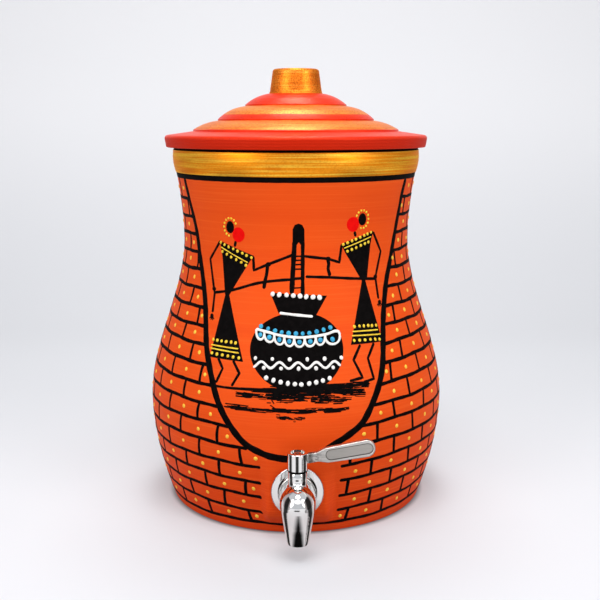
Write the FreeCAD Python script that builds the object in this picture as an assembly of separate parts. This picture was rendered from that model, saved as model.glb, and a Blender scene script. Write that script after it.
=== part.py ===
"""Clay water pot with a tap: a wheel-thrown pot, its stepped lid and a steel plug tap.

Sizes are in millimetres. The pot stands on the plane z = 0 with its axis on Z. The tap faces -Y.
The pot's wall is thickened into a flat pad low on the front, and the tap's threaded tail goes
through that pad, clamped between two soft washers by a nut inside the pot. The lever turns a
cross-bored plug in the tap. The lid stands on the rim and lifts straight off.
"""
import FreeCAD, Part
import math
import os
from FreeCAD import Vector

# Pot: outside shape, from the foot up to the thick rim
FOOT_RADIUS = 107.7
FOOT_EDGE_RADIUS = 2.5
BELLY_RADIUS = 125.0
BELLY_HEIGHT = 87.0
FOOT_SLOPE_SHARE = 1.81
FOOT_SLOPE = FOOT_SLOPE_SHARE * (BELLY_RADIUS - FOOT_RADIUS) / BELLY_HEIGHT
WAIST_RADIUS = 94.6
WAIST_HEIGHT = 223.0
NECK_RADIUS = 100.0
NECK_HEIGHT = 277.0
NECK_SLOPE = 0.17
RIM_HEIGHT = 20.0
RIM_FOOT_STEP = 0.6
RIM_BULGE = 2.6
RIM_EDGE_RADIUS = 3.0
RIM_INNER_EDGE_RADIUS = 2.5

# Pot: wall, floor and the pad that the tap sits on
WALL = 9.0
FLOOR = 12.0
FLOOR_CORNER_RADIUS = 14.0
PAD_HALF_WIDTH = 27.0
PAD_RISE = 20.0
PAD_DROP = 18.0
PAD_FOOT_DROP = 12.0
PAD_HEAD_RISE = 18.0
PAD_EDGE_RADIUS = 6.0
INNER_SEAT_RADIUS = 17.5
TAIL_HOLE_CLEARANCE = 0.5

# Lid: flange, the three domed tiers, the knob and the ring that drops into the mouth
LID_OVERHANG = 7.0
LID_FLANGE_THICKNESS = 9.5
LID_FLANGE_TAPER = 1.6
LID_FLANGE_RISE = 3.4
LID_EDGE_RADIUS = 2.6
LID_LOWER_EDGE_RADIUS = 1.0
LOWER_TIER_RADIUS = 85.6
MIDDLE_TIER_RADIUS = 65.0
UPPER_TIER_RADIUS = 42.2
LOWER_TIER_HEIGHT = 8.5
MIDDLE_TIER_HEIGHT = 11.8
UPPER_TIER_HEIGHT = 10.2
LOWER_TIER_CROWN = 1.2
MIDDLE_TIER_CROWN = 2.1
UPPER_TIER_CROWN = 1.5
TIER_RISER = 1.2
TIER_LEDGE = 0.8
KNOB_FOOT_RADIUS = 22.4
KNOB_WAIST_RADIUS = 21.5
KNOB_TOP_RADIUS = 19.0
KNOB_HEIGHT = 20.0
KNOB_FLARE_HEIGHT = 2.2
KNOB_EDGE_RADIUS = 2.4
LID_RING_CLEARANCE = 2.5
LID_RING_DEPTH = 11.0
LID_RING_THICKNESS = 8.0
LID_RING_EDGE_RADIUS = 2.0
LID_WALL = 10.5

# Tap: height and reach
TAP_HEIGHT = 42.0
VALVE_REACH = 13.5
SPOUT_REACH = 25.0
SPOUT_DROP = 29.6

# Tap: threaded tail, washers and nut
TAIL_RADIUS = 8.0
TAIL_ROOT_DEPTH = 0.9
TAIL_THREAD_PITCH = 1.5
TAIL_LENGTH = 33.0
TAIL_BORE_RADIUS = 4.5
RING_FIT = 0.05
FLANGE_RADIUS = 20.0
FLANGE_THICKNESS = 2.5
FLANGE_EDGE_RADIUS = 0.9
FLANGE_STEP_RADIUS = 15.6
FLANGE_STEP_DEPTH = 0.5
OUTER_SEAL_RADIUS = 17.5
OUTER_SEAL_THICKNESS = 2.5
INNER_SEAL_RADIUS = 15.5
INNER_SEAL_THICKNESS = 2.5
SEAL_EDGE_RADIUS = 0.6
BACKING_WASHER_RADIUS = 15.0
BACKING_WASHER_THICKNESS = 1.5
NUT_ACROSS_FLATS = 24.0
NUT_THICKNESS = 7.5
NUT_CHAMFER = 1.2

# Tap: body
COLLAR_RADIUS = 15.0
COLLAR_LENGTH = 4.0
BARREL_RADIUS = 13.4
SPOUT_TIP_RADIUS = 7.9
SPOUT_BORE_RADIUS = 6.5
SPOUT_BORE_DEPTH = 16.5
SPOUT_LIP_RADIUS = 0.8
CROTCH_RADIUS = 3.0
HOUSING_RADIUS = 7.0
HOUSING_TOP_RISE = 22.2

# Tap: plug, gland and seals
CHAMBER_RADIUS = 5.3
PLUG_FIT = 0.05
PLUG_DROP = 7.0
PLUG_RISE = 14.5
PORT_RADIUS = 3.4
PORT_LAND = 3.0
PLUG_FLOOR_GAP = 0.1
STEM_RADIUS = 3.5
TANG_ACROSS_FLATS = 4.9
TANG_LENGTH = 6.5
TANG_FIT = 0.05
O_RING_SECTION = 0.7
O_RING_RISES = (6.6, 11.0)
O_RING_GROOVE_HALF = 0.8
GLAND_RADIUS = 5.9
GLAND_FIT = 0.05
GLAND_THICKNESS = 6.0
GLAND_SLOT_WIDTH = 1.2
GLAND_SLOT_DEPTH = 1.2
HANDLE_SEAL_RADIUS = 7.2
HANDLE_SEAL_THICKNESS = 0.8
HANDLE_RUNNING_GAP = 0.1

# Tap: lever handle and its screw
HUB_RADIUS = 7.6
HUB_HEIGHT = 13.6
HUB_EDGE_RADIUS = 0.7
HUB_RECESS_RADIUS = 5.3
HUB_RECESS_DEPTH = 2.6
HUB_WEB_THICKNESS = 2.0
LEVER_RISE_ANGLE = 10.0
LEVER_ROOT_RISE = 7.8
LEVER_THICKNESS = 4.2
LEVER_NECK_HEIGHT = 7.2
LEVER_NECK_LENGTH = 15.0
PADDLE_START = 21.5
PADDLE_LENGTH = 58.0
PADDLE_ROOT_HEIGHT = 11.4
PADDLE_TIP_HEIGHT = 13.2
LEVER_EDGE_RADIUS = 0.9
PLATE_MARGIN = 2.1
PLATE_THICKNESS = 0.5
PLATE_RECESS = 0.4
PLATE_FIT = 0.05
SCREW_RADIUS = 1.5
SCREW_FIT = 0.05
SCREW_LENGTH = 8.0
SCREW_HEAD_RADIUS = 2.9
SCREW_HEAD_HEIGHT = 1.9
SCREW_SOCKET_ACROSS_FLATS = 2.5
SCREW_SOCKET_DEPTH = 1.2

# How far a cutting solid runs past the face it opens
SPARE = 5.0

# Steps for finding where a rounded corner meets the leaning wall, and the least length of an edge
CORNER_STEPS = 6
SLOPE_STEP = 0.01
SAME_PLACE = 0.001

# Directions
ORIGIN = Vector(0, 0, 0)
UP = Vector(0, 0, 1)
FRONT = Vector(0, -1, 0)
BACK = Vector(0, 1, 0)


def hermite(start, end, start_slope, end_slope, height):
    """Radius at a height on the cubic between two (height, radius) points with given slopes."""
    span = end[0] - start[0]
    t = (height - start[0]) / span
    return (
        start[1] * (1 - 3 * t**2 + 2 * t**3)
        + end[1] * (3 * t**2 - 2 * t**3)
        + start_slope * span * (t - 2 * t**2 + t**3)
        + end_slope * span * (t**3 - t**2)
    )


def pot_radius(height):
    """Outside radius of the thrown wall at a height, from the foot to the neck."""
    if height < BELLY_HEIGHT:
        foot, belly = (0.0, FOOT_RADIUS), (BELLY_HEIGHT, BELLY_RADIUS)
        return hermite(foot, belly, FOOT_SLOPE, 0.0, height)
    if height < WAIST_HEIGHT:
        belly, waist = (BELLY_HEIGHT, BELLY_RADIUS), (WAIST_HEIGHT, WAIST_RADIUS)
        return hermite(belly, waist, 0.0, 0.0, height)
    waist, neck = (WAIST_HEIGHT, WAIST_RADIUS), (NECK_HEIGHT, NECK_RADIUS)
    return hermite(waist, neck, 0.0, NECK_SLOPE, height)


# Heights and depths that follow from the sizes above
RIM_TOP = NECK_HEIGHT + RIM_HEIGHT
PAD_FACE = pot_radius(TAP_HEIGHT + PAD_RISE)
INNER_SEAT = pot_radius(TAP_HEIGHT + INNER_SEAT_RADIUS) - WALL
FLANGE_BACK = PAD_FACE + OUTER_SEAL_THICKNESS
FLANGE_FRONT = FLANGE_BACK + FLANGE_THICKNESS
VALVE_Y = -(FLANGE_FRONT + VALVE_REACH)
SPOUT_Y = -(FLANGE_FRONT + SPOUT_REACH)
TAIL_END_Y = -(FLANGE_FRONT - TAIL_LENGTH)
SPOUT_TIP = TAP_HEIGHT - SPOUT_DROP
HOUSING_TOP = TAP_HEIGHT + HOUSING_TOP_RISE
PLUG_BOTTOM = TAP_HEIGHT - PLUG_DROP
PLUG_TOP = TAP_HEIGHT + PLUG_RISE
HUB_BOTTOM = HOUSING_TOP + HANDLE_SEAL_THICKNESS + HANDLE_RUNNING_GAP
HUB_TOP = HUB_BOTTOM + HUB_HEIGHT
WEB_TOP = HUB_TOP - HUB_RECESS_DEPTH
WEB_BOTTOM = WEB_TOP - HUB_WEB_THICKNESS
TANG_TOP = WEB_BOTTOM - HANDLE_RUNNING_GAP
TANG_BOTTOM = TANG_TOP - TANG_LENGTH


def at(radius, height):
    """Point of a turned profile, drawn in the XZ plane."""
    return Vector(radius, 0, height)


def line(start, end):
    """Straight edge between two points."""
    return Part.LineSegment(start, end).toShape()


def arc(start, middle, end):
    """Circular edge through three points."""
    return Part.Arc(start, middle, end).toShape()


def bulged(start, end, crown):
    """Circular edge between two points of a profile that stands out by crown at its middle."""
    chord = end - start
    outward = Vector(chord.z, 0, -chord.x).normalize()
    return arc(start, (start + end) * 0.5 + outward * crown, end)


def rounded_path(points):
    """Straight edges through (point, radius) pairs, with a tangent arc at each rounded corner."""
    edges = []
    last = points[0][0]
    for (before, _), (corner, radius), (after, _) in zip(points, points[1:], points[2:]):
        back = (before - corner).normalize()
        ahead = (after - corner).normalize()
        half_angle = back.getAngle(ahead) / 2
        run = radius / math.tan(half_angle)
        start = corner + back * run
        end = corner + ahead * run
        if (start - last).Length > SAME_PLACE:
            edges.append(line(last, start))
        if radius > 0:
            inward = (back + ahead).normalize()
            depth = radius / math.sin(half_angle) - radius
            edges.append(arc(start, corner + inward * depth, end))
        last = end
    if (points[-1][0] - last).Length > SAME_PLACE:
        edges.append(line(last, points[-1][0]))
    return edges


def wall_curve(start, end, start_slope, end_slope, inset, low=None):
    """The same cubic as hermite() as one edge, inset in radius; low trims its lower end."""
    third = (end[0] - start[0]) / 3
    curve = Part.BezierCurve()
    curve.setPoles([
        at(start[1] - inset, start[0]),
        at(start[1] - inset + start_slope * third, start[0] + third),
        at(end[1] - inset - end_slope * third, end[0] - third),
        at(end[1] - inset, end[0]),
    ])
    if low is None:
        return curve.toShape()
    return curve.toShape((low - start[0]) / (end[0] - start[0]), 1.0)


def wall_curves(inset, low):
    """The wall's three edges from a height low down up to the neck."""
    foot, belly = (0.0, FOOT_RADIUS), (BELLY_HEIGHT, BELLY_RADIUS)
    waist, neck = (WAIST_HEIGHT, WAIST_RADIUS), (NECK_HEIGHT, NECK_RADIUS)
    return [
        wall_curve(foot, belly, FOOT_SLOPE, 0.0, inset, low),
        wall_curve(belly, waist, 0.0, 0.0, inset),
        wall_curve(waist, neck, 0.0, NECK_SLOPE, inset),
    ]


def turned(edges):
    """Solid of revolution about Z of a closed profile."""
    wire = Part.Wire(Part.__sortEdges__(edges))
    return Part.Face(wire).revolve(ORIGIN, UP, 360)


def ring(outer, inner, thickness, base, direction):
    """Flat ring with its lower face at base, thick along direction."""
    solid = Part.makeCylinder(outer, thickness, base, direction)
    return solid.cut(Part.makeCylinder(inner, thickness, base, direction))


def block(low, high):
    """Box between two opposite corners."""
    size = high - low
    return Part.makeBox(size.x, size.y, size.z, low)


def circles_on(solid, radius, position, axis):
    """Circular edges of a solid with a given radius, at a given place along X, Y or Z."""
    found = []
    for edge in solid.Edges:
        curve = edge.Curve
        if isinstance(curve, Part.Circle) and abs(curve.Radius - radius) < 1e-3:
            if abs(curve.Center[axis] - position) < 1e-3:
                found.append(edge)
    return found


def lower_wall(base, inset, corner_radius):
    """Flat base, the corner arc tangent to it and to the wall, and the wall up to the neck."""
    height = base + corner_radius
    for _ in range(CORNER_STEPS):
        lean = math.atan2(pot_radius(height + SLOPE_STEP) - pot_radius(height), SLOPE_STEP)
        height = base + corner_radius * (1 - math.sin(lean))
    end = at(pot_radius(height) - inset, height)
    centre = at(end.x - corner_radius * math.cos(lean), base + corner_radius)
    start = at(centre.x, base)
    half_way = (math.pi / 2 + lean) / 2
    middle = centre + at(math.cos(half_way), -math.sin(half_way)) * corner_radius
    return [line(at(0, base), start), arc(start, middle, end)] + wall_curves(inset, height)


def thrown_pot():
    """The pot as it comes off the wheel: foot, wall, neck and rim, hollow down to its floor."""
    rim_low = at(NECK_RADIUS + RIM_FOOT_STEP, NECK_HEIGHT)
    rim_high = at(NECK_RADIUS + RIM_BULGE, RIM_TOP)
    rim_side = rim_high - at(0, RIM_EDGE_RADIUS)
    outside = lower_wall(0.0, 0.0, FOOT_EDGE_RADIUS) + [
        line(at(NECK_RADIUS, NECK_HEIGHT), rim_low),
        bulged(rim_low, rim_side, (RIM_BULGE - RIM_FOOT_STEP) / 2),
    ]
    outside += rounded_path([
        (rim_side, 0),
        (rim_high, RIM_EDGE_RADIUS),
        (at(0, RIM_TOP), 0),
        (at(0, 0), 0),
    ])
    return turned(outside)


def cavity():
    """The space inside the pot, from its floor up through the mouth's rounded edge."""
    mouth = at(NECK_RADIUS - WALL, RIM_TOP)
    lip = mouth + at(RIM_INNER_EDGE_RADIUS, 0)
    inside = lower_wall(FLOOR, WALL, FLOOR_CORNER_RADIUS)
    inside += rounded_path([
        (at(mouth.x, NECK_HEIGHT), 0),
        (mouth, RIM_INNER_EDGE_RADIUS),
        (lip, 0),
        (lip + at(0, SPARE), 0),
        (at(0, RIM_TOP + SPARE), 0),
        (at(0, FLOOR), 0),
    ])
    return turned(inside)


def tap_pad():
    """The flat-faced thickening behind the tap, which slopes into the wall above and below."""
    top = TAP_HEIGHT + PAD_RISE
    bottom = TAP_HEIGHT - PAD_DROP
    head = top + PAD_HEAD_RISE
    foot = bottom - PAD_FOOT_DROP
    back = WALL - FOOT_RADIUS
    outline = [
        Vector(-PAD_HALF_WIDTH, -PAD_FACE, bottom),
        Vector(-PAD_HALF_WIDTH, WALL / 2 - pot_radius(foot), foot),
        Vector(-PAD_HALF_WIDTH, back, foot),
        Vector(-PAD_HALF_WIDTH, back, head),
        Vector(-PAD_HALF_WIDTH, WALL / 2 - pot_radius(head), head),
        Vector(-PAD_HALF_WIDTH, -PAD_FACE, top),
    ]
    face = Part.Face(Part.makePolygon(outline + outline[:1]))
    solid = face.extrude(Vector(2 * PAD_HALF_WIDTH, 0, 0))
    corners = []
    for edge in solid.Edges:
        along = edge.tangentAt(edge.FirstParameter)
        upright = abs(along.z) > abs(along.x) + abs(along.y) / 2
        if upright and edge.CenterOfMass.y < (back - PAD_FACE) / 2:
            corners.append(edge)
    return solid.makeFillet(PAD_EDGE_RADIUS, corners)


def make_pot_body():
    """The clay pot: hollow wall, floor, rim, tap pad and the hole for the tap's tail."""
    solid = thrown_pot().fuse(tap_pad()).cut(cavity())
    seat_start = Vector(0, -INNER_SEAT, TAP_HEIGHT)
    seat = Part.makeCylinder(INNER_SEAT_RADIUS, 2 * WALL, seat_start, BACK)
    hole_start = Vector(0, -PAD_FACE - SPARE, TAP_HEIGHT)
    hole_radius = TAIL_RADIUS + TAIL_HOLE_CLEARANCE
    hole = Part.makeCylinder(hole_radius, PAD_FACE / 2, hole_start, BACK)
    return solid.cut(seat).cut(hole)


def lid_heights():
    """Heights of the lid's flange edge, of each tier's foot and top, and of the knob's top."""
    flange_edge = RIM_TOP + LID_FLANGE_THICKNESS
    lower = flange_edge + LID_FLANGE_RISE
    middle = lower + LOWER_TIER_HEIGHT
    upper = middle + MIDDLE_TIER_HEIGHT
    knob = upper + UPPER_TIER_HEIGHT
    return flange_edge, lower, middle, upper, knob


def make_lid():
    """The clay lid: flange, three domed tiers, knob, and a ring that centres it in the mouth."""
    flange_edge, lower, middle, upper, knob = lid_heights()
    flange = NECK_RADIUS + RIM_BULGE + LID_OVERHANG
    ring_outer = NECK_RADIUS - WALL - LID_RING_CLEARANCE
    ring_inner = ring_outer - LID_RING_THICKNESS
    ring_low = RIM_TOP - LID_RING_DEPTH
    last = at(LOWER_TIER_RADIUS, lower)
    edges = rounded_path([
        (at(ring_inner, RIM_TOP), 0),
        (at(ring_inner, ring_low), LID_RING_EDGE_RADIUS),
        (at(ring_outer, ring_low), LID_RING_EDGE_RADIUS),
        (at(ring_outer, RIM_TOP), 0),
        (at(flange - LID_FLANGE_TAPER, RIM_TOP), LID_LOWER_EDGE_RADIUS),
        (at(flange, flange_edge), LID_EDGE_RADIUS),
        (last, 0),
    ])
    tiers = (
        (LOWER_TIER_RADIUS, lower, MIDDLE_TIER_RADIUS, middle, LOWER_TIER_CROWN),
        (MIDDLE_TIER_RADIUS, middle, UPPER_TIER_RADIUS, upper, MIDDLE_TIER_CROWN),
        (UPPER_TIER_RADIUS, upper, KNOB_FOOT_RADIUS, knob, UPPER_TIER_CROWN),
    )
    for radius, foot, next_radius, top, crown in tiers:
        riser_top = at(radius, foot + TIER_RISER)
        ledge = at(next_radius + TIER_LEDGE, top)
        edges += [line(last, riser_top), bulged(riser_top, ledge, crown)]
        last = at(next_radius, top)
        edges.append(line(ledge, last))
    edges += rounded_path([
        (last, 0),
        (at(KNOB_WAIST_RADIUS, knob + KNOB_FLARE_HEIGHT), 0),
        (at(KNOB_TOP_RADIUS, knob + KNOB_HEIGHT), KNOB_EDGE_RADIUS),
        (at(0, knob + KNOB_HEIGHT), 0),
        (at(0, knob - LID_WALL), 0),
        (at(KNOB_FOOT_RADIUS, knob - LID_WALL), 0),
        (at(MIDDLE_TIER_RADIUS, middle - LID_WALL), 0),
        (at(ring_inner, RIM_TOP), 0),
    ])
    return turned(edges)


def threaded_tail():
    """The tap's tail, with its thread cut as V-shaped rings a pitch apart."""
    start = -(FLANGE_FRONT + COLLAR_LENGTH)
    tail = Part.makeCylinder(TAIL_RADIUS, TAIL_END_Y - start, Vector(0, start, TAP_HEIGHT), BACK)
    root = Vector(0, 0, TAP_HEIGHT + TAIL_RADIUS - TAIL_ROOT_DEPTH)
    crest = Vector(0, 0, TAP_HEIGHT + TAIL_RADIUS + TAIL_ROOT_DEPTH)
    half = BACK * TAIL_THREAD_PITCH
    grooves = []
    y = -INNER_SEAT + TAIL_THREAD_PITCH
    while y < TAIL_END_Y - TAIL_THREAD_PITCH:
        offset = BACK * y
        corners = [offset + root, offset + crest + half, offset + crest - half, offset + root]
        groove = Part.Face(Part.makePolygon(corners))
        grooves.append(groove.revolve(Vector(0, 0, TAP_HEIGHT), BACK, 360))
        y += TAIL_THREAD_PITCH
    return tail.cut(Part.makeCompound(grooves))


def tap_outside():
    """The tap's outside: barrel, ball, tapered spout, collar, valve housing and tail."""
    barrel_start = Vector(0, -FLANGE_FRONT, TAP_HEIGHT)
    barrel = Part.makeCylinder(BARREL_RADIUS, SPOUT_REACH, barrel_start, FRONT)
    ball = Part.makeSphere(BARREL_RADIUS, Vector(0, SPOUT_Y, TAP_HEIGHT))
    tip = Vector(0, SPOUT_Y, SPOUT_TIP)
    spout = Part.makeCone(SPOUT_TIP_RADIUS, BARREL_RADIUS, SPOUT_DROP, tip)
    spout = spout.makeFillet(SPOUT_LIP_RADIUS, circles_on(spout, SPOUT_TIP_RADIUS, SPOUT_TIP, 2))
    solid = barrel.fuse(ball).fuse(spout)
    crotch = []
    for edge in solid.Edges:
        middle = edge.CenterOfMass
        if SPOUT_Y < middle.y < -FLANGE_FRONT and SPOUT_TIP < middle.z < TAP_HEIGHT:
            if not isinstance(edge.Curve, (Part.Circle, Part.Line)):
                crotch.append(edge)
    solid = solid.makeFillet(CROTCH_RADIUS, crotch)
    collar = Part.makeCone(COLLAR_RADIUS, BARREL_RADIUS, COLLAR_LENGTH, barrel_start, FRONT)
    housing_base = Vector(0, VALVE_Y, TAP_HEIGHT)
    housing = Part.makeCylinder(HOUSING_RADIUS, HOUSING_TOP_RISE, housing_base)
    return solid.fuse(collar).fuse(housing).fuse(threaded_tail())


def waterway():
    """The space for water: tail bore, narrow ports beside the plug, bend and spout bore."""
    port_start = Vector(0, SPOUT_Y, TAP_HEIGHT)
    port = Part.makeCylinder(PORT_RADIUS, TAIL_END_Y - SPOUT_Y, port_start, BACK)
    tail_start = Vector(0, VALVE_Y + CHAMBER_RADIUS + PORT_LAND, TAP_HEIGHT)
    tail = Part.makeCylinder(TAIL_BORE_RADIUS, TAIL_END_Y - tail_start.y + SPARE, tail_start, BACK)
    bend = Part.makeCylinder(TAIL_BORE_RADIUS, SPOUT_DROP, Vector(0, SPOUT_Y, SPOUT_TIP))
    bend = bend.fuse(Part.makeSphere(TAIL_BORE_RADIUS, Vector(0, SPOUT_Y, TAP_HEIGHT)))
    outlet_start = Vector(0, SPOUT_Y, SPOUT_TIP - SPARE)
    outlet = Part.makeCylinder(SPOUT_BORE_RADIUS, SPOUT_BORE_DEPTH + SPARE, outlet_start)
    return port.fuse(tail).fuse(bend).fuse(outlet)


def make_tap_body():
    """The tap's steel body with its waterway, the plug's chamber and the gland's seat."""
    chamber_start = Vector(0, VALVE_Y, PLUG_BOTTOM - PLUG_FLOOR_GAP)
    chamber = Part.makeCylinder(CHAMBER_RADIUS, HOUSING_TOP - PLUG_BOTTOM + SPARE, chamber_start)
    gland_start = Vector(0, VALVE_Y, PLUG_TOP)
    gland_bore = Part.makeCylinder(GLAND_RADIUS + GLAND_FIT, HOUSING_TOP, gland_start)
    return tap_outside().cut(waterway()).cut(chamber).cut(gland_bore)


def make_tap_flange():
    """The polished disc that covers the hole, with a shallow step round the tap's collar."""
    start = Vector(0, -FLANGE_BACK, TAP_HEIGHT)
    bore = TAIL_RADIUS + RING_FIT
    solid = ring(FLANGE_RADIUS, bore, FLANGE_THICKNESS, start, FRONT)
    rim = circles_on(solid, FLANGE_RADIUS, -FLANGE_FRONT, 1)
    solid = solid.makeFillet(FLANGE_EDGE_RADIUS, rim)
    step_start = Vector(0, -FLANGE_FRONT + FLANGE_STEP_DEPTH, TAP_HEIGHT)
    groove = ring(FLANGE_STEP_RADIUS, COLLAR_RADIUS, FLANGE_STEP_DEPTH, step_start, FRONT)
    return solid.cut(groove)


def soft_washer(radius, thickness, start, direction):
    """Silicone washer with rounded rims."""
    solid = ring(radius, TAIL_RADIUS + RING_FIT, thickness, start, direction)
    far = start + direction * thickness
    rims = circles_on(solid, radius, start.y, 1) + circles_on(solid, radius, far.y, 1)
    return solid.makeFillet(SEAL_EDGE_RADIUS, rims)


def make_outer_seal():
    """Washer between the flange and the pad."""
    start = Vector(0, -PAD_FACE, TAP_HEIGHT)
    return soft_washer(OUTER_SEAL_RADIUS, OUTER_SEAL_THICKNESS, start, FRONT)


def make_inner_seal():
    """Washer between the flat seat inside the pot and the backing washer."""
    start = Vector(0, -INNER_SEAT, TAP_HEIGHT)
    return soft_washer(INNER_SEAL_RADIUS, INNER_SEAL_THICKNESS, start, BACK)


def make_backing_washer():
    """Steel washer that spreads the nut's load."""
    start = Vector(0, -INNER_SEAT + INNER_SEAL_THICKNESS, TAP_HEIGHT)
    bore = TAIL_RADIUS + RING_FIT
    return ring(BACKING_WASHER_RADIUS, bore, BACKING_WASHER_THICKNESS, start, BACK)


def hexagon(across_flats, thickness, start, direction, first_corner):
    """Hexagonal prism; first_corner points from the axis to one corner."""
    corner = first_corner * (across_flats / math.sqrt(3))
    turn = FreeCAD.Rotation(direction, 60)
    points = []
    for _ in range(6):
        points.append(start + corner)
        corner = turn.multVec(corner)
    face = Part.Face(Part.makePolygon(points + points[:1]))
    return face.extrude(direction * thickness)


def make_lock_nut():
    """Hexagon nut that clamps the tap from inside the pot, with chamfered corners."""
    y = -INNER_SEAT + INNER_SEAL_THICKNESS + BACKING_WASHER_THICKNESS
    start = Vector(0, y, TAP_HEIGHT)
    nut = hexagon(NUT_ACROSS_FLATS, NUT_THICKNESS, start, BACK, UP)
    rim = NUT_ACROSS_FLATS / 2 + NUT_THICKNESS - NUT_CHAMFER / 2
    cone = Part.makeCone(rim, rim - NUT_THICKNESS, NUT_THICKNESS, start, BACK)
    bore = Part.makeCylinder(TAIL_RADIUS + RING_FIT, NUT_THICKNESS, start, BACK)
    return nut.common(cone).cut(bore)


def tang(across_flats, bottom, top):
    """Square drive on the valve's axis."""
    half = across_flats / 2
    return block(Vector(-half, VALVE_Y - half, bottom), Vector(half, VALVE_Y + half, top))


def make_valve_plug():
    """Cross-bored plug with two ring grooves, its stem and the square tang under the handle."""
    radius = CHAMBER_RADIUS - PLUG_FIT
    solid = Part.makeCylinder(radius, PLUG_TOP - PLUG_BOTTOM, Vector(0, VALVE_Y, PLUG_BOTTOM))
    stem = Part.makeCylinder(STEM_RADIUS, TANG_BOTTOM - PLUG_TOP, Vector(0, VALVE_Y, PLUG_TOP))
    drive = tang(TANG_ACROSS_FLATS, TANG_BOTTOM, TANG_TOP)
    solid = solid.fuse(stem).fuse(drive)
    bore_start = Vector(-radius - SPARE, VALVE_Y, TAP_HEIGHT)
    bore = Part.makeCylinder(PORT_RADIUS, 2 * (radius + SPARE), bore_start, Vector(1, 0, 0))
    solid = solid.cut(bore)
    for rise in O_RING_RISES:
        start = Vector(0, VALVE_Y, TAP_HEIGHT + rise - O_RING_GROOVE_HALF)
        root = radius - 2 * O_RING_SECTION
        solid = solid.cut(ring(radius + SPARE, root, 2 * O_RING_GROOVE_HALF, start, UP))
    screw_start = Vector(0, VALVE_Y, WEB_TOP - SCREW_LENGTH - HANDLE_RUNNING_GAP)
    return solid.cut(Part.makeCylinder(SCREW_RADIUS + SCREW_FIT, SCREW_LENGTH, screw_start))


def make_plug_o_rings():
    """The two rubber rings round the plug."""
    centre_radius = CHAMBER_RADIUS - PLUG_FIT - O_RING_SECTION
    rings = []
    for rise in O_RING_RISES:
        centre = Vector(0, VALVE_Y, TAP_HEIGHT + rise)
        rings.append(Part.makeTorus(centre_radius, O_RING_SECTION, centre, UP))
    return Part.makeCompound(rings)


def make_gland_ring():
    """Ring screwed into the housing over the plug, with a slot for a flat driver."""
    start = Vector(0, VALVE_Y, PLUG_TOP + HANDLE_RUNNING_GAP)
    solid = ring(GLAND_RADIUS, STEM_RADIUS + PLUG_FIT, GLAND_THICKNESS, start, UP)
    top = start.z + GLAND_THICKNESS
    low = Vector(-GLAND_RADIUS, VALVE_Y - GLAND_SLOT_WIDTH / 2, top - GLAND_SLOT_DEPTH)
    high = Vector(GLAND_RADIUS, VALVE_Y + GLAND_SLOT_WIDTH / 2, top)
    return solid.cut(block(low, high))


def make_handle_seal():
    """Black ring between the valve housing and the handle."""
    start = Vector(0, VALVE_Y, HOUSING_TOP)
    return ring(HANDLE_SEAL_RADIUS, STEM_RADIUS + 0.5, HANDLE_SEAL_THICKNESS, start, UP)


def lever_place(along, across):
    """Point of the lever's outline: along its rising middle line, and across it."""
    rise = math.radians(LEVER_RISE_ANGLE)
    x = along * math.cos(rise) - across * math.sin(rise)
    z = HUB_BOTTOM + LEVER_ROOT_RISE + along * math.sin(rise) + across * math.cos(rise)
    return Vector(x, VALVE_Y - LEVER_THICKNESS / 2, z)


def paddle_half_height(along):
    """Half the paddle's height at a distance along the lever."""
    share = (along - PADDLE_START) / (PADDLE_LENGTH - PADDLE_START)
    return (PADDLE_ROOT_HEIGHT + share * (PADDLE_TIP_HEIGHT - PADDLE_ROOT_HEIGHT)) / 2


def make_lever():
    """The lever: a narrow neck that widens into a round-ended paddle."""
    neck = LEVER_NECK_HEIGHT / 2
    root = paddle_half_height(PADDLE_START)
    tip_radius = PADDLE_TIP_HEIGHT / 2
    tip_start = PADDLE_LENGTH - tip_radius
    upper_start, lower_start = lever_place(tip_start, tip_radius), lever_place(tip_start, -tip_radius)
    outline = [
        line(lever_place(0, neck), lever_place(LEVER_NECK_LENGTH, neck)),
        line(lever_place(LEVER_NECK_LENGTH, neck), lever_place(PADDLE_START, root)),
        line(lever_place(PADDLE_START, root), upper_start),
        arc(upper_start, lever_place(PADDLE_LENGTH, 0), lower_start),
        line(lower_start, lever_place(PADDLE_START, -root)),
        line(lever_place(PADDLE_START, -root), lever_place(LEVER_NECK_LENGTH, -neck)),
        line(lever_place(LEVER_NECK_LENGTH, -neck), lever_place(0, -neck)),
        line(lever_place(0, -neck), lever_place(0, neck)),
    ]
    face = Part.Face(Part.Wire(Part.__sortEdges__(outline)))
    solid = face.extrude(BACK * LEVER_THICKNESS)
    rims = [edge for edge in solid.Edges if abs(edge.tangentAt(edge.FirstParameter).y) < 0.5]
    rims = [edge for edge in rims if edge.CenterOfMass.x > HUB_RADIUS / 2]
    return solid.makeFillet(LEVER_EDGE_RADIUS, rims)


def plate_blank(margin, depth):
    """Round-ended blank let into the paddle's front to a depth, inside a margin."""
    half = PADDLE_ROOT_HEIGHT / 2 - margin
    start, end = PADDLE_START + half, PADDLE_LENGTH - margin - half
    outline = [
        line(lever_place(start, half), lever_place(end, half)),
        arc(lever_place(end, half), lever_place(end + half, 0), lever_place(end, -half)),
        line(lever_place(end, -half), lever_place(start, -half)),
        arc(lever_place(start, -half), lever_place(start - half, 0), lever_place(start, half)),
    ]
    face = Part.Face(Part.Wire(Part.__sortEdges__(outline)))
    return face.extrude(BACK * depth)


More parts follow.
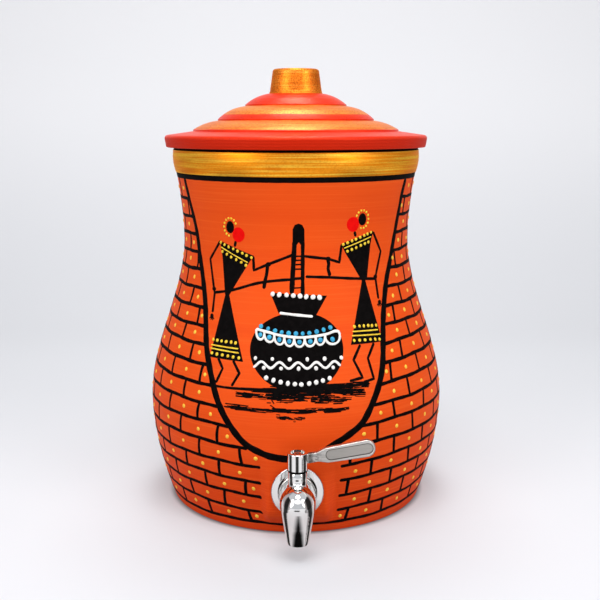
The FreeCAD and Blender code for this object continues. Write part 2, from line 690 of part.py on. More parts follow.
def make_tap_handle():
    """Hub and lever in one casting, with the square socket and the screw's recess."""
    base = Vector(0, VALVE_Y, HUB_BOTTOM)
    hub = Part.makeCylinder(HUB_RADIUS, HUB_HEIGHT, base)
    rim = circles_on(hub, HUB_RADIUS, HUB_TOP, 2)
    hub = hub.makeFillet(HUB_EDGE_RADIUS, rim)
    solid = hub.fuse(make_lever())
    socket = tang(TANG_ACROSS_FLATS + 2 * TANG_FIT, TANG_BOTTOM, WEB_BOTTOM)
    stem_room = Part.makeCylinder(STEM_RADIUS + PLUG_FIT, TANG_BOTTOM - HUB_BOTTOM, base)
    recess = Part.makeCylinder(HUB_RECESS_RADIUS, SPARE, Vector(0, VALVE_Y, WEB_TOP))
    screw_hole = Part.makeCylinder(SCREW_RADIUS + SCREW_FIT, HUB_HEIGHT, base)
    pocket = plate_blank(PLATE_MARGIN - PLATE_FIT, PLATE_RECESS + PLATE_THICKNESS)
    for space in (socket, stem_room, recess, screw_hole, pocket):
        solid = solid.cut(space)
    return solid


def make_lever_plate():
    """Blank plate on the floor of the paddle's pocket."""
    plate = plate_blank(PLATE_MARGIN, PLATE_THICKNESS)
    plate.translate(BACK * PLATE_RECESS)
    return plate


def make_handle_screw():
    """Socket-head screw that holds the handle down on the tang."""
    low = Vector(0, VALVE_Y, WEB_TOP - SCREW_LENGTH)
    solid = Part.makeCylinder(SCREW_RADIUS, SCREW_LENGTH, low)
    head_start = Vector(0, VALVE_Y, WEB_TOP)
    solid = solid.fuse(Part.makeCylinder(SCREW_HEAD_RADIUS, SCREW_HEAD_HEIGHT, head_start))
    socket_start = head_start + UP * (SCREW_HEAD_HEIGHT - SCREW_SOCKET_DEPTH)
    socket = hexagon(
        SCREW_SOCKET_ACROSS_FLATS, SCREW_SOCKET_DEPTH, socket_start, UP, Vector(1, 0, 0)
    )
    return solid.cut(socket)


PIECES = {
    "pot_body": make_pot_body,
    "lid": make_lid,
    "tap_body": make_tap_body,
    "tap_flange": make_tap_flange,
    "outer_seal": make_outer_seal,
    "inner_seal": make_inner_seal,
    "backing_washer": make_backing_washer,
    "lock_nut": make_lock_nut,
    "valve_plug": make_valve_plug,
    "plug_o_rings": make_plug_o_rings,
    "gland_ring": make_gland_ring,
    "handle_seal": make_handle_seal,
    "tap_handle": make_tap_handle,
    "lever_plate": make_lever_plate,
    "handle_screw": make_handle_screw,
}


def main():
    """Write one STEP file for each piece."""
    os.makedirs("parts", exist_ok=True)
    for name, make in PIECES.items():
        shape = make()
        shape.exportStep(f"parts/{name}.step")
        print(f"{name}: solids {len(shape.Solids)}, volume {shape.Volume:.0f}, valid {shape.isValid()}")


main()
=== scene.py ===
"""Clay water pot with a tap: a pot painted by hand, its banded lid and a polished tap.

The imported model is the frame. The pot, the lid and the tap's casting are made again here as
smooth meshes on the same sizes, and the paint lies on the pot as thin raised strokes, fills and
drops. The other nodes keep their meshes and get their finishes here. Sizes are in millimetres
while a piece is being shaped, and finishing it turns them into metres.
"""

import logging
import math
import random
from dataclasses import dataclass
from enum import Enum
from typing import Any, Callable, Iterable, Optional, Sequence, Union

import bmesh
import bpy
from mathutils import Matrix, Vector

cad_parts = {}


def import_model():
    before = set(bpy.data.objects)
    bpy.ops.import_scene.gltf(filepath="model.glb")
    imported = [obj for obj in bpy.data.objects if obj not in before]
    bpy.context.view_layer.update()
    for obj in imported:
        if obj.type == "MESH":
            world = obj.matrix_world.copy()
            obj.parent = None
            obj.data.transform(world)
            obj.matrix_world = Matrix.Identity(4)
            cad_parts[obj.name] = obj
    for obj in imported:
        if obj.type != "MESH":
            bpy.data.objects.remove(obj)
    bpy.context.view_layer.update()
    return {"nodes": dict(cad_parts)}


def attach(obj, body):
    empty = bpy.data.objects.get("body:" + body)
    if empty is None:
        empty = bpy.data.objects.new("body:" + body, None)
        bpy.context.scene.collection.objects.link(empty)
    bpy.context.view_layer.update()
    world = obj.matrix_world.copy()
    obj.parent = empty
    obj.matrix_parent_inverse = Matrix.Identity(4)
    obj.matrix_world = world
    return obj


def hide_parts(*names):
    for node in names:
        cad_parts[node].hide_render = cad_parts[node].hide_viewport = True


LOG = logging.getLogger("water_pot")
MM = 0.001

Point = tuple[float, float]
Triple = tuple[float, float, float]
Pair = tuple[Point, Point]
Path = tuple[Point, ...]
Colour = tuple[float, float, float, float]


class Body(Enum):
    """The moving bodies that the new pieces ride on."""

    POT = "pot"
    LID = "lid"


class Slot(Enum):
    """The record's material slots, which the new pieces keep but don't take their finish from."""

    POT_CLAY = "pot_clay"
    LID_CLAY = "lid_clay"
    TAP_STEEL = "tap_steel"


class Ink(Enum):
    """The colours that the strokes and drops are painted in."""

    BLACK = "black"
    YELLOW = "yellow"
    WHITE = "white"
    BLUE = "blue"
    RED = "red"
    GOLD = "gold"


def rgb(red: float, green: float, blue: float) -> Colour:
    """Linear colour of three display values.

    Args:
        red: Red, 0 to 255.
        green: Green, 0 to 255.
        blue: Blue, 0 to 255.

    Returns:
        The colour as a shader's socket takes it.
    """
    channels = []
    for value in (red, green, blue):
        share = value / 255.0
        low = share / 12.92
        channels.append(low if share <= 0.04045 else ((share + 0.055) / 1.055) ** 2.4)
    return channels[0], channels[1], channels[2], 1.0


# Shader maths


class Signal:
    """A value that changes over a surface, so that shader maths can be written as Python."""

    def __init__(self, recipe: "Recipe", socket: bpy.types.NodeSocket) -> None:
        """Wrap an output socket that belongs to a material's recipe."""
        self.recipe = recipe
        self.socket = socket

    def _with(self, operation: str, *values: Any) -> "Signal":
        """Result of a Math node.

        Args:
            operation: The node's operation.
            values: Up to three signals or numbers that it works on.

        Returns:
            The result.
        """
        inputs = dict(enumerate(values))
        made = self.recipe.node("ShaderNodeMath", {"operation": operation}, inputs)
        return Signal(self.recipe, made.outputs[0])

    def __add__(self, other: Any) -> "Signal":
        """Sum."""
        return self._with("ADD", self, other)

    def __radd__(self, other: Any) -> "Signal":
        """Sum, from the right."""
        return self._with("ADD", other, self)

    def __sub__(self, other: Any) -> "Signal":
        """Difference."""
        return self._with("SUBTRACT", self, other)

    def __rsub__(self, other: Any) -> "Signal":
        """Difference, from the right."""
        return self._with("SUBTRACT", other, self)

    def __mul__(self, other: Any) -> "Signal":
        """Product."""
        return self._with("MULTIPLY", self, other)

    def __rmul__(self, other: Any) -> "Signal":
        """Product, from the right."""
        return self._with("MULTIPLY", other, self)

    def wave(self) -> "Signal":
        """Sine of the value in radians, moved and scaled to run from 0 to 1."""
        return self._with("SINE", self) * 0.5 + 0.5

    def root(self) -> "Signal":
        """Square root."""
        return self._with("SQRT", self)

    def hypot(self, other: "Signal") -> "Signal":
        """Length of the slope whose sides are the two values."""
        return (self * self + other * other).root()

    def bearing(self, other: Any) -> "Signal":
        """Angle whose tangent is this value over the other, in radians."""
        return self._with("ARCTAN2", self, other)

    def at_most(self, other: Any) -> "Signal":
        """The smaller of the two."""
        return self._with("MINIMUM", self, other)

    def at_least(self, other: Any) -> "Signal":
        """The larger of the two."""
        return self._with("MAXIMUM", self, other)

    def step(self, low: float, high: float) -> "Signal":
        """Smooth rise from 0 at low to 1 at high.

        Args:
            low: The value where the rise starts.
            high: The value where it ends.

        Returns:
            The eased value, which stays between 0 and 1.
        """
        settings = {"interpolation_type": "SMOOTHSTEP"}
        inputs = {"Value": self, "From Min": low, "From Max": high}
        made = self.recipe.node("ShaderNodeMapRange", settings, inputs)
        return Signal(self.recipe, made.outputs["Result"])


class Recipe:
    """One material's nodes, and short ways to write its finish."""

    def __init__(self, name: str) -> None:
        """Start a material that has only its Principled shader.

        Args:
            name: The material's name.
        """
        self.material = bpy.data.materials.new(name)
        self.material.use_nodes = True
        self.tree = self.material.node_tree
        self.shader = self.tree.nodes["Principled BSDF"]

    def node(
        self,
        kind: str,
        settings: Optional[dict[str, Any]] = None,
        inputs: Optional[dict[Union[str, int], Any]] = None,
    ) -> bpy.types.Node:
        """Add a node, set it up and feed its sockets.

        Args:
            kind: The node's type.
            settings: Its own settings, which are set first.
            inputs: Values or signals for its sockets, by name or place.

        Returns:
            The new node.
        """
        made = self.tree.nodes.new(kind)
        for key, value in (settings or {}).items():
            setattr(made, key, value)
        for key, value in (inputs or {}).items():
            self.feed(made.inputs[key], value)
        return made

    def feed(self, socket: bpy.types.NodeSocket, value: Any) -> None:
        """Link a signal to a socket, or set the socket's own value.

        Args:
            socket: The input socket.
            value: A signal, a socket, a number or a colour.
        """
        source = value.socket if isinstance(value, Signal) else value
        if isinstance(source, bpy.types.NodeSocket):
            self.tree.links.new(source, socket)
        else:
            socket.default_value = source

    def place(self) -> tuple[Signal, Signal, Signal]:
        """Make the surface point's X, Y and Z in the row's frame.

        Returns:
            The three signals, in metres.
        """
        coordinates = self.node("ShaderNodeTexCoord")
        parts = self.node("ShaderNodeSeparateXYZ", None, {0: coordinates.outputs["Object"]})
        return tuple(Signal(self, output) for output in parts.outputs)

    def noise(
        self, grain: Union[float, Triple], detail: float = 2.0, shift: float = 0.0
    ) -> Signal:
        """Noise whose grain can differ along each axis.

        Args:
            grain: How many features there are to the metre, in all or along X, Y and Z.
            detail: The noise's octaves.
            shift: Moves the pattern, so that two finishes don't repeat it.

        Returns:
            The noise, about 0.5 on average.
        """
        coordinates = self.node("ShaderNodeTexCoord")
        places = {
            "Vector": coordinates.outputs["Object"],
            "Location": (shift, shift, shift),
            "Scale": grain if isinstance(grain, tuple) else (grain, grain, grain),
        }
        scaled = self.node("ShaderNodeMapping", None, places)
        inputs = {"Vector": scaled.outputs[0], "Scale": 1.0, "Detail": detail}
        made = self.node("ShaderNodeTexNoise", None, inputs)
        return Signal(self, made.outputs[0])

    def mixed(self, share: Any, first: Any, second: Any) -> Signal:
        """Colour between two colours.

        Args:
            share: 0 for the first colour, 1 for the second.
            first: A colour or a colour signal.
            second: A colour or a colour signal.

        Returns:
            The mixed colour.
        """
        settings = {"data_type": "RGBA"}
        made = self.node("ShaderNodeMix", settings, {0: share, 6: first, 7: second})
        return Signal(self, made.outputs[2])

    def relief(self, height: Signal, depth: float) -> None:
        """Raise the surface's look by a height signal, 0 to 1, that is so many metres deep."""
        made = self.node("ShaderNodeBump", None, {"Distance": depth, "Height": height})
        self.feed(self.shader.inputs["Normal"], made.outputs[0])

    def set(self, **sockets: Any) -> None:
        """Feed the shader's sockets.

        Args:
            sockets: Values or signals by the socket's name, with underscores for its spaces.
        """
        for name, value in sockets.items():
            title = name.replace("_", " ").title().replace("Ior", "IOR")
            self.feed(self.shader.inputs[title], value)


# Finishes


@dataclass(frozen=True)
class Finish:
    """A named finish; each kind of finish adds its own nodes."""

    name: str

    def material(self) -> bpy.types.Material:
        """Make the material.

        Returns:
            The new material, with the finish's nodes in it.
        """
        recipe = Recipe(self.name)
        self.apply(recipe)
        return recipe.material

    def apply(self, recipe: Recipe) -> None:
        """Add the finish's nodes to a material's recipe."""
        raise NotImplementedError


@dataclass(frozen=True)
class WallPaint(Finish):
    """Orange paint brushed on level while the pot turns, with painted shade that darkens it
    towards the foot.
    """

    name: str = "orange_wall_paint"
    colour: Colour = rgb(240, 84, 21)
    light: Colour = rgb(249, 105, 38)
    # low: darker orange for the painted shade towards the foot, and for the random bands and
    # patches
    low: Colour = rgb(226, 66, 16)
    foot_shade_fade: Point = (-0.02, 0.12)
    streak_grain: Triple = (9.0, 9.0, 900.0)
    streak_share: float = 0.55
    band_grain: Triple = (4.0, 4.0, 70.0)
    band_share: float = 0.3
    patch_grain: float = 14.0
    patch_share: float = 0.15
    roughness: float = 0.48
    uneven_roughness: float = 0.16
    gloss: float = 0.08
    brush_depth: float = 0.00006

    def apply(self, recipe: Recipe) -> None:
        """Add the finish's nodes.

        Args:
            recipe: The material that they go into.
        """
        _, _, height = recipe.place()
        streaks = recipe.noise(self.streak_grain, 4.0)
        bands = recipe.noise(self.band_grain, 2.0, 3.0)
        patches = recipe.noise(self.patch_grain, 2.0, 7.0)
        # Painted shade: the orange darkens towards the foot, where less light falls from above.
        base = recipe.mixed(height.step(*self.foot_shade_fade), self.low, self.colour)
        brushed = recipe.mixed(streaks.step(0.45, 0.8) * self.streak_share, base, self.light)
        banded = recipe.mixed(bands.step(0.45, 0.75) * self.band_share, brushed, self.low)
        shaded = recipe.mixed(patches.step(0.5, 0.8) * self.patch_share, banded, self.low)
        recipe.set(
            base_color=shaded,
            roughness=self.roughness + streaks * self.uneven_roughness,
            specular_ior_level=self.gloss,
        )
        recipe.relief(streaks * 0.7 + bands * 0.6, self.brush_depth)


@dataclass(frozen=True)
class BareClay(Finish):
    """Fired clay with no paint: throwing rings, sand and a few pale specks."""

    name: str = "bare_fired_clay"
    colour: Colour = rgb(190, 104, 66)
    dark: Colour = rgb(150, 74, 46)
    pale: Colour = rgb(214, 140, 98)
    sand_grain: float = 1500.0
    speck_share: float = 0.7
    cloud_grain: Triple = (22.0, 22.0, 30.0)
    ring_rate: float = 1150.0
    ring_waver: float = 5.0
    roughness: float = 0.82
    sand_roughness: float = 0.14
    depth: float = 0.00035

    def apply(self, recipe: Recipe) -> None:
        """Add the finish's nodes.

        Args:
            recipe: The material that they go into.
        """
        east, north, height = recipe.place()
        sand = recipe.noise(self.sand_grain, 3.0)
        clouds = recipe.noise(self.cloud_grain, 3.0, 5.0)
        rings = (height + east.hypot(north)) * self.ring_rate
        rings = (rings + clouds * self.ring_waver).wave()
        body = recipe.mixed(clouds.step(0.35, 0.7), self.dark, self.colour)
        specked = recipe.mixed(sand.step(0.66, 0.74) * self.speck_share, body, self.pale)
        recipe.set(base_color=specked, roughness=self.roughness + sand * self.sand_roughness)
        recipe.relief(rings * 0.8 + sand * 0.35, self.depth)


@dataclass(frozen=True)
class DropPaint(Finish):
    """Thick craft paint for lines and drops, satin, with a slight unevenness of tone."""

    colour: Colour
    shade: Colour
    roughness: float = 0.3
    gloss: float = 0.5
    tone_grain: float = 260.0
    fine_grain: float = 1600.0
    uneven_roughness: float = 0.2
    depth: float = 0.00004

    def apply(self, recipe: Recipe) -> None:
        """Add the finish's nodes.

        Args:
            recipe: The material that they go into.
        """
        tone = recipe.noise(self.tone_grain, 3.0)
        fine = recipe.noise(self.fine_grain, 2.0, 4.0)
        recipe.set(
            base_color=recipe.mixed(tone.step(0.35, 0.7), self.colour, self.shade),
            roughness=self.roughness + tone * self.uneven_roughness,
            specular_ior_level=self.gloss,
        )
        recipe.relief(tone * 0.8 + fine * 0.3, self.depth)


INKS = {
    Ink.BLACK: DropPaint("black_line_paint", rgb(6, 4, 4), rgb(13, 10, 10), 0.55, 0.03),
    Ink.YELLOW: DropPaint("yellow_drop_paint", rgb(252, 220, 62), rgb(240, 192, 40), 0.35, 0.3),
    Ink.WHITE: DropPaint("white_drop_paint", rgb(248, 246, 242), rgb(232, 229, 224)),
    Ink.BLUE: DropPaint("blue_drop_paint", rgb(44, 172, 214), rgb(20, 142, 192)),
    Ink.RED: DropPaint("red_head_paint", rgb(248, 12, 8), rgb(238, 8, 5), 0.5, 0.05),
    Ink.GOLD: DropPaint("golden_drop_paint", rgb(255, 210, 72), rgb(252, 190, 52), 0.35, 0.3),
}


@dataclass(frozen=True)
class GoldPaint(Finish):
    """Gold craft paint with flakes, brushed on level in streaks."""

    colour: Colour
    light: Colour
    dark: Colour
    streak_share: float
    flake_share: float
    streak_grain: Triple = (12.0, 12.0, 820.0)
    worn_grain: Triple = (16.0, 16.0, 120.0)
    worn_share: float = 0.6
    flake_grain: float = 950.0
    metal: float = 0.75
    roughness: float = 0.28
    uneven_roughness: float = 0.2
    gloss: float = 0.4
    glint: Colour = rgb(255, 205, 130)
    depth: float = 0.00008

    def tone(self, recipe: Recipe) -> tuple[Signal, Signal]:
        """Colour and unevenness of the gold.

        Args:
            recipe: The material that it goes into.

        Returns:
            The gold's colour, and the streaks that its roughness and relief follow.
        """
        streaks = recipe.noise(self.streak_grain, 4.0, 2.0)
        broad = recipe.noise(self.worn_grain, 2.0, 6.0)
        flakes = recipe.noise(self.flake_grain, 3.0, 9.0)
        lit_share = streaks.step(0.42, 0.68) * self.streak_share
        lit = recipe.mixed(lit_share, self.colour, self.light)
        dark_share = broad.step(0.47, 0.66) * self.streak_share * self.worn_share
        worn = recipe.mixed(dark_share, lit, self.dark)
        flaked = recipe.mixed(flakes.step(0.47, 0.62) * self.flake_share, worn, self.dark)
        return flaked, streaks * 0.7 + flakes * 0.4

    def apply(self, recipe: Recipe) -> None:
        """Add the finish's nodes.

        Args:
            recipe: The material that they go into.
        """
        colour, uneven = self.tone(recipe)
        recipe.set(
            base_color=colour,
            metallic=self.metal,
            roughness=self.roughness + uneven * self.uneven_roughness,
            specular_ior_level=self.gloss,
            specular_tint=self.glint,
        )
        recipe.relief(uneven, self.depth)


RIM_GOLD = GoldPaint("rim_gold", rgb(242, 144, 20), rgb(255, 212, 74), rgb(198, 94, 4), 0.9, 0.3)
BAND_GOLD = GoldPaint(
    "band_gold", rgb(242, 136, 44), rgb(253, 170, 80), rgb(204, 84, 18), 0.5, 0.85
)
KNOB_GOLD = GoldPaint(
    "knob_gold", rgb(242, 128, 30), rgb(255, 184, 80), rgb(172, 68, 10), 0.5, 0.7
)


@dataclass(frozen=True)
class LidPaint(Finish):
    """The lid's red paint with gold bands, whose edges waver as a hand-held brush leaves them."""

    name: str = "lid_paint"
    red: Colour = rgb(230, 46, 8)
    red_light: Colour = rgb(244, 70, 22)
    red_dark: Colour = rgb(176, 16, 4)
    # side: a darker red for the flange's upright side, painted shade where less light falls
    side: Colour = rgb(204, 33, 0)
    shaded_side_top: Point = (303.5, 306.5)
    lower_gold: Point = (311.6, 318.5)
    upper_gold: Point = (323.4, 330.6)
    edge: float = 0.25
    waver_grain: float = 45.0
    waver_width: float = 1.3
    groove_rate: float = 2400.0
    groove_waver: float = 4.0
    grit_grain: float = 900.0
    grit_share: float = 0.45
    wear_grain: Triple = (30.0, 30.0, 160.0)
    wear_share: float = 0.5
    metal: float = 0.2
    gold_metal: float = 0.15
    roughness: float = 0.28
    grit_roughness: float = 0.14
    side_roughness: float = 0.25
    gloss: float = 0.3
    glint: Colour = rgb(255, 196, 172)
    depth: float = 0.00024

    def band(self, height: Signal, limits: Point) -> Signal:
        """Mask of one band, from its lower and upper height in millimetres."""
        rise = height.step(limits[0] - self.edge, limits[0] + self.edge)
        return rise * (1 - height.step(limits[1] - self.edge, limits[1] + self.edge))

    def apply(self, recipe: Recipe) -> None:
        """Add the finish's nodes.

        Args:
            recipe: The material that they go into.
        """
        east, north, height = recipe.place()
        waver = recipe.noise(self.waver_grain, 2.0, 1.0)
        level = height * (1 / MM) + (waver - 0.5) * self.waver_width
        gold = self.band(level, self.lower_gold).at_least(self.band(level, self.upper_gold))
        grooves = (east.hypot(north) + height) * self.groove_rate
        grooves = (grooves + waver * self.groove_waver).wave()
        grit = recipe.noise(self.grit_grain, 3.0, 3.0)
        wear = recipe.noise(self.wear_grain, 3.0, 8.0)
        red = recipe.mixed(wear.step(0.4, 0.75) * self.wear_share, self.red, self.red_light)
        red = recipe.mixed(grit.step(0.5, 0.7) * self.grit_share, red, self.red_dark)
        # Painted shade: the flange's upright side, below its top edge, turns a darker red.
        side = 1 - level.step(*self.shaded_side_top)
        red = recipe.mixed(side, red, self.side)
        gold_tone, uneven = BAND_GOLD.tone(recipe)
        recipe.set(
            base_color=recipe.mixed(gold, red, gold_tone),
            metallic=self.metal + gold * self.gold_metal,
            roughness=self.roughness + grit * self.grit_roughness + side * self.side_roughness,
            specular_ior_level=self.gloss,
            specular_tint=self.glint,
        )
        recipe.relief(grooves * 0.4 + grit * 0.6 + uneven * 0.2, self.depth)


@dataclass(frozen=True)
class Steel(Finish):
    """Stainless steel: how bright it is, how finely polished, and how its brush marks run."""

    colour: Colour = rgb(228, 227, 224)
    roughness: float = 0.05
    marks: float = 0.03
    grain: Triple = (90.0, 90.0, 90.0)
    depth: float = 0.000004
    dullness: float = 0.82
    fineness: float = 12.0

    def apply(self, recipe: Recipe) -> None:
        """Add the finish's nodes.

        Args:
            recipe: The material that they go into.
        """
        smudges = recipe.noise(self.grain, 3.0)
        fine = recipe.noise(tuple(self.fineness * value for value in self.grain), 2.0, 5.0)
        dull = tuple(self.dullness * value for value in self.colour[:3]) + (1.0,)
        recipe.set(
            base_color=recipe.mixed(smudges.step(0.5, 0.8) * 0.5, self.colour, dull),
            metallic=1.0,
            roughness=self.roughness + smudges.step(0.4, 0.8) * self.marks,
        )
        recipe.relief(fine, self.depth)


@dataclass(frozen=True)
class HandleSteel(Finish):
    """The handle's steel: mirror hub, rough dark root, satin paddle, painted shade in the groove.

    The groove lies round the plate, whose outline is all the points at one distance from a
    straight middle line. The middle line starts in the hub's axis and rises along the lever.
    Places are in metres, and a pair of them is where a change starts and ends.
    """

    name: str = "handle_steel"
    mirror: Colour = rgb(228, 227, 224)
    satin: Colour = rgb(212, 208, 202)
    root: Colour = rgb(84, 79, 74)
    # groove: the dark of the groove's painted shade, and of the dark blots by the root
    groove: Colour = rgb(52, 47, 43)
    # seal: near black for the hub's lower edge, the black seal's colour with painted shade in the
    # gap there
    seal: Colour = rgb(20, 19, 18)
    seam_shade_top: Point = (0.0656, 0.0661)
    root_height: float = 0.0729
    root_end: Point = (0.0096, 0.0122)
    neck_end: Point = (0.012, 0.02)
    paddle_start: Point = (0.0072, 0.0082)
    rise: float = 10.0
    plate_line: Point = (0.0251, 0.0523)
    plate_half: float = 0.0036
    groove_inner: Point = (-0.0006, -0.0001)
    groove_outer: Point = (0.0004, 0.0008)
    brush_grain: Triple = (60.0, 900.0, 1400.0)
    brush_share: float = 0.3
    pit_grain: float = 1500.0
    blot_grain: float = 650.0
    blot_share: float = 0.6
    root_share: float = 0.75
    groove_share: float = 0.85
    mirror_roughness: float = 0.05
    satin_roughness: float = 0.2
    brush_roughness: float = 0.14
    root_roughness: float = 0.2
    depth: float = 0.00006

    def from_outline(self, away: Signal, change: Point) -> Signal:
        """Rise over a change that is measured outwards from the plate's outline."""
        return away.step(self.plate_half + change[0], self.plate_half + change[1])

    def apply(self, recipe: Recipe) -> None:
        """Add the finish's nodes.

        Args:
            recipe: The material that they go into.
        """
        east, _, height = recipe.place()
        paddle = east.step(*self.paddle_start)
        root = paddle * (1 - east.step(*self.root_end))
        neck = 1 - east.step(*self.neck_end)
        # Painted shade with the seal's black: the hub's lower edge below the seal's top is near
        # black.
        seam_shade = 1 - height.step(*self.seam_shade_top)
        cosine, sine = math.cos(math.radians(self.rise)), math.sin(math.radians(self.rise))
        above = height - self.root_height
        along = east * cosine + above * sine
        across = above * cosine - east * sine
        past = along - along.at_least(self.plate_line[0]).at_most(self.plate_line[1])
        away = past.hypot(across)
        # Painted shade: a dark line in the groove round the plate.
        groove = self.from_outline(away, self.groove_inner)
        groove = groove * (1 - self.from_outline(away, self.groove_outer))
        brushed = recipe.noise(self.brush_grain, 3.0)
        pits = recipe.noise(self.pit_grain, 3.0, 4.0)
        blots = recipe.noise(self.blot_grain, 2.0, 6.0)
        lever = recipe.mixed(root * self.root_share, self.satin, self.root)
        blotted = blots.step(0.47, 0.56) * neck * self.blot_share
        lever = recipe.mixed(blotted, lever, self.groove)
        lever = recipe.mixed(brushed.step(0.4, 0.75) * self.brush_share, lever, self.root)
        lever = recipe.mixed(groove * self.groove_share, lever, self.groove)
        satin = paddle * (self.satin_roughness + brushed * self.brush_roughness)
        recipe.set(
            base_color=recipe.mixed(seam_shade, recipe.mixed(paddle, self.mirror, lever), self.seal),
            metallic=1.0,
            roughness=self.mirror_roughness + satin + root * self.root_roughness,
        )
        recipe.relief((brushed * 0.4 + pits * root) * paddle, self.depth)


@dataclass(frozen=True)
class Rubber(Finish):
    """Rubber or silicone with a fine mould texture."""

    colour: Colour
    roughness: float
    soft: float = 0.0
    gloss: float = 0.4
    mould_grain: float = 1400.0
    mould_roughness: float = 0.1
    depth: float = 0.00003

    def apply(self, recipe: Recipe) -> None:
        """Add the finish's nodes.

        Args:
            recipe: The material that they go into.
        """
        mould = recipe.noise(self.mould_grain, 2.0)
        dusty = tuple(min(1.0, 1.25 * value + 0.01) for value in self.colour[:3]) + (1.0,)
        recipe.set(
            base_color=recipe.mixed(mould.step(0.4, 0.8) * 0.4, self.colour, dusty),
            roughness=self.roughness + mould * self.mould_roughness,
            specular_ior_level=self.gloss,
            subsurface_weight=self.soft,
        )
        recipe.relief(mould, self.depth)


# Shaping helpers


def hermite(start: Point, end: Point, slopes: Point, height: float) -> float:
    """Radius on a cubic between two (height, radius) points.

    Args:
        start: The lower point.
        end: The upper point.
        slopes: Change of radius with height at the two points.
        height: Where the radius is wanted.

    Returns:
        The radius there.
    """
    span = end[0] - start[0]
    t = (height - start[0]) / span
    return (
        start[1] * (1 - 3 * t**2 + 2 * t**3)
        + end[1] * (3 * t**2 - 2 * t**3)
        + slopes[0] * span * (t - 2 * t**2 + t**3)
        + slopes[1] * span * (t**3 - t**2)
    )


def ease(value: float, low: float, high: float) -> float:
    """Smooth rise from 0 where the value is low to 1 where it is high."""
    share = min(max((value - low) / (high - low), 0.0), 1.0)
    return share * share * (3 - 2 * share)


def rounded(corners: Sequence[Triple], steps: int = 5) -> list[Point]:
    """Line through corners with arcs at the rounded ones.

    Args:
        corners: Radius, height and rounding radius of each corner.
        steps: How many pieces each arc has.

    Returns:
        The line's points.
    """
    path: list[Point] = []
    for index, (radius, height, rounding) in enumerate(corners):
        here = Vector((radius, height))
        if rounding <= 0 or index in (0, len(corners) - 1):
            path.append((radius, height))
            continue
        back = (Vector(corners[index - 1][:2]) - here).normalized()
        ahead = (Vector(corners[index + 1][:2]) - here).normalized()
        half = back.angle(ahead) / 2
        centre = here + (back + ahead).normalized() * (rounding / math.sin(half))
        start = (here + back * (rounding / math.tan(half)) - centre).normalized()
        end = (here + ahead * (rounding / math.tan(half)) - centre).normalized()
        for step in range(steps + 1):
            arm = start.slerp(end, step / steps) * rounding
            path.append((centre.x + arm.x, centre.y + arm.y))
    return path


def crowned(start: Point, end: Point, crown: float, steps: int = 10) -> list[Point]:
    """Points of a shallow arc between two points that stands out by crown at its middle.

    Args:
        start: The arc's first point, which is left out of the result.
        end: Its last point.
        crown: How far its middle stands out from the chord.
        steps: How many pieces it has.

    Returns:
        The arc's points after the first.
    """
    first, last = Vector(start), Vector(end)
    chord = last - first
    outward = Vector((chord.y, -chord.x)).normalized()
    points = []
    for step in range(1, steps + 1):
        t = step / steps
        spot = first + chord * t + outward * (4 * crown * t * (1 - t))
        points.append((spot.x, spot.y))
    return points


def spread(path: Sequence[Point], gap: float) -> list[Point]:
    """The same line with points no further apart than a gap.

    Args:
        path: The line's points.
        gap: The longest step.

    Returns:
        The denser line.
    """
    dense = [path[0]]
    for start, end in zip(path, path[1:]):
        count = max(1, math.ceil(math.dist(start, end) / gap))
        for step in range(1, count + 1):
            t = step / count
            dense.append((start[0] + (end[0] - start[0]) * t, start[1] + (end[1] - start[1]) * t))
    return dense


def eased(points: Sequence[Point], gap: float) -> list[Point]:
    """Smooth curve through points, as a hand draws it.

    Args:
        points: The points that the curve passes through.
        gap: About how far apart its own points are.

    Returns:
        The curve's points.
    """
    ends = [points[0], *points, points[-1]]
    curve = [points[0]]
    for before, start, end, after in zip(ends, ends[1:], ends[2:], ends[3:]):
        count = max(1, math.ceil(math.dist(start, end) / gap))
        for step in range(1, count + 1):
            t = step / count
            spot = []
            for p, q, r, s in zip(before, start, end, after):
                bend = 2 * p - 5 * q + 4 * r - s
                twist = 3 * q - p - 3 * r + s
                spot.append(0.5 * (2 * q + (r - p) * t + bend * t * t + twist * t**3))
            curve.append((spot[0], spot[1]))
    return curve


def wire(
    mesh: bmesh.types.BMesh, spots: Iterable[Sequence[float]]
) -> tuple[list[bmesh.types.BMVert], list[bmesh.types.BMEdge]]:
    """Open line of edges through points: its vertices and its edges."""
    verts = [mesh.verts.new(spot) for spot in spots]
    return verts, [mesh.edges.new(pair) for pair in zip(verts, verts[1:])]


def sweep(
    mesh: bmesh.types.BMesh, rings: Sequence[Sequence[Vector]], material: int = 0
) -> None:
    """Closed skin over a row of rings, by extruding the first ring from each to the next.

    Args:
        mesh: The mesh that it is made in.
        rings: The rings, all with the same number of points.
        material: The faces' material.
    """
    before = set(mesh.faces)
    loop = [mesh.verts.new(spot) for spot in rings[0]]
    edges = [mesh.edges.new(pair) for pair in zip(loop, loop[1:] + loop[:1])]
    mesh.faces.new(loop)
    for ring in rings[1:]:
        made = bmesh.ops.extrude_edge_only(mesh, edges=edges)["geom"]
        fresh = {item for item in made if isinstance(item, bmesh.types.BMVert)}
        following = []
        for old in loop:
            joined = (edge.other_vert(old) for edge in old.link_edges)
            following.append(next(vert for vert in joined if vert in fresh))
        for new, spot in zip(following, ring):
            new.co = spot
        loop = following
        edges = [mesh.edges.get(pair) for pair in zip(loop, loop[1:] + loop[:1])]
    mesh.faces.new(loop)
    for face in mesh.faces:
        if face not in before:
            face.material_index = material


def mesh_data(name: str, mesh: bmesh.types.BMesh) -> bpy.types.Mesh:
    """Turn a shaped mesh into an object's mesh data, and free it.

    Args:
        name: The data's name.
        mesh: The shaped mesh, which can't be used afterwards.

    Returns:
        The new data.
    """
    data = bpy.data.meshes.new(name)
    mesh.to_mesh(data)
    mesh.free()
    return data


def add_object(data: bpy.types.ID) -> bpy.types.Object:
    """Put a mesh, a lamp or a camera into the scene.

    Args:
        data: What it shows, whose name it takes.

    Returns:
        The new object.
    """
    made = bpy.data.objects.new(data.name, data)
    bpy.context.scene.collection.objects.link(made)
    return made


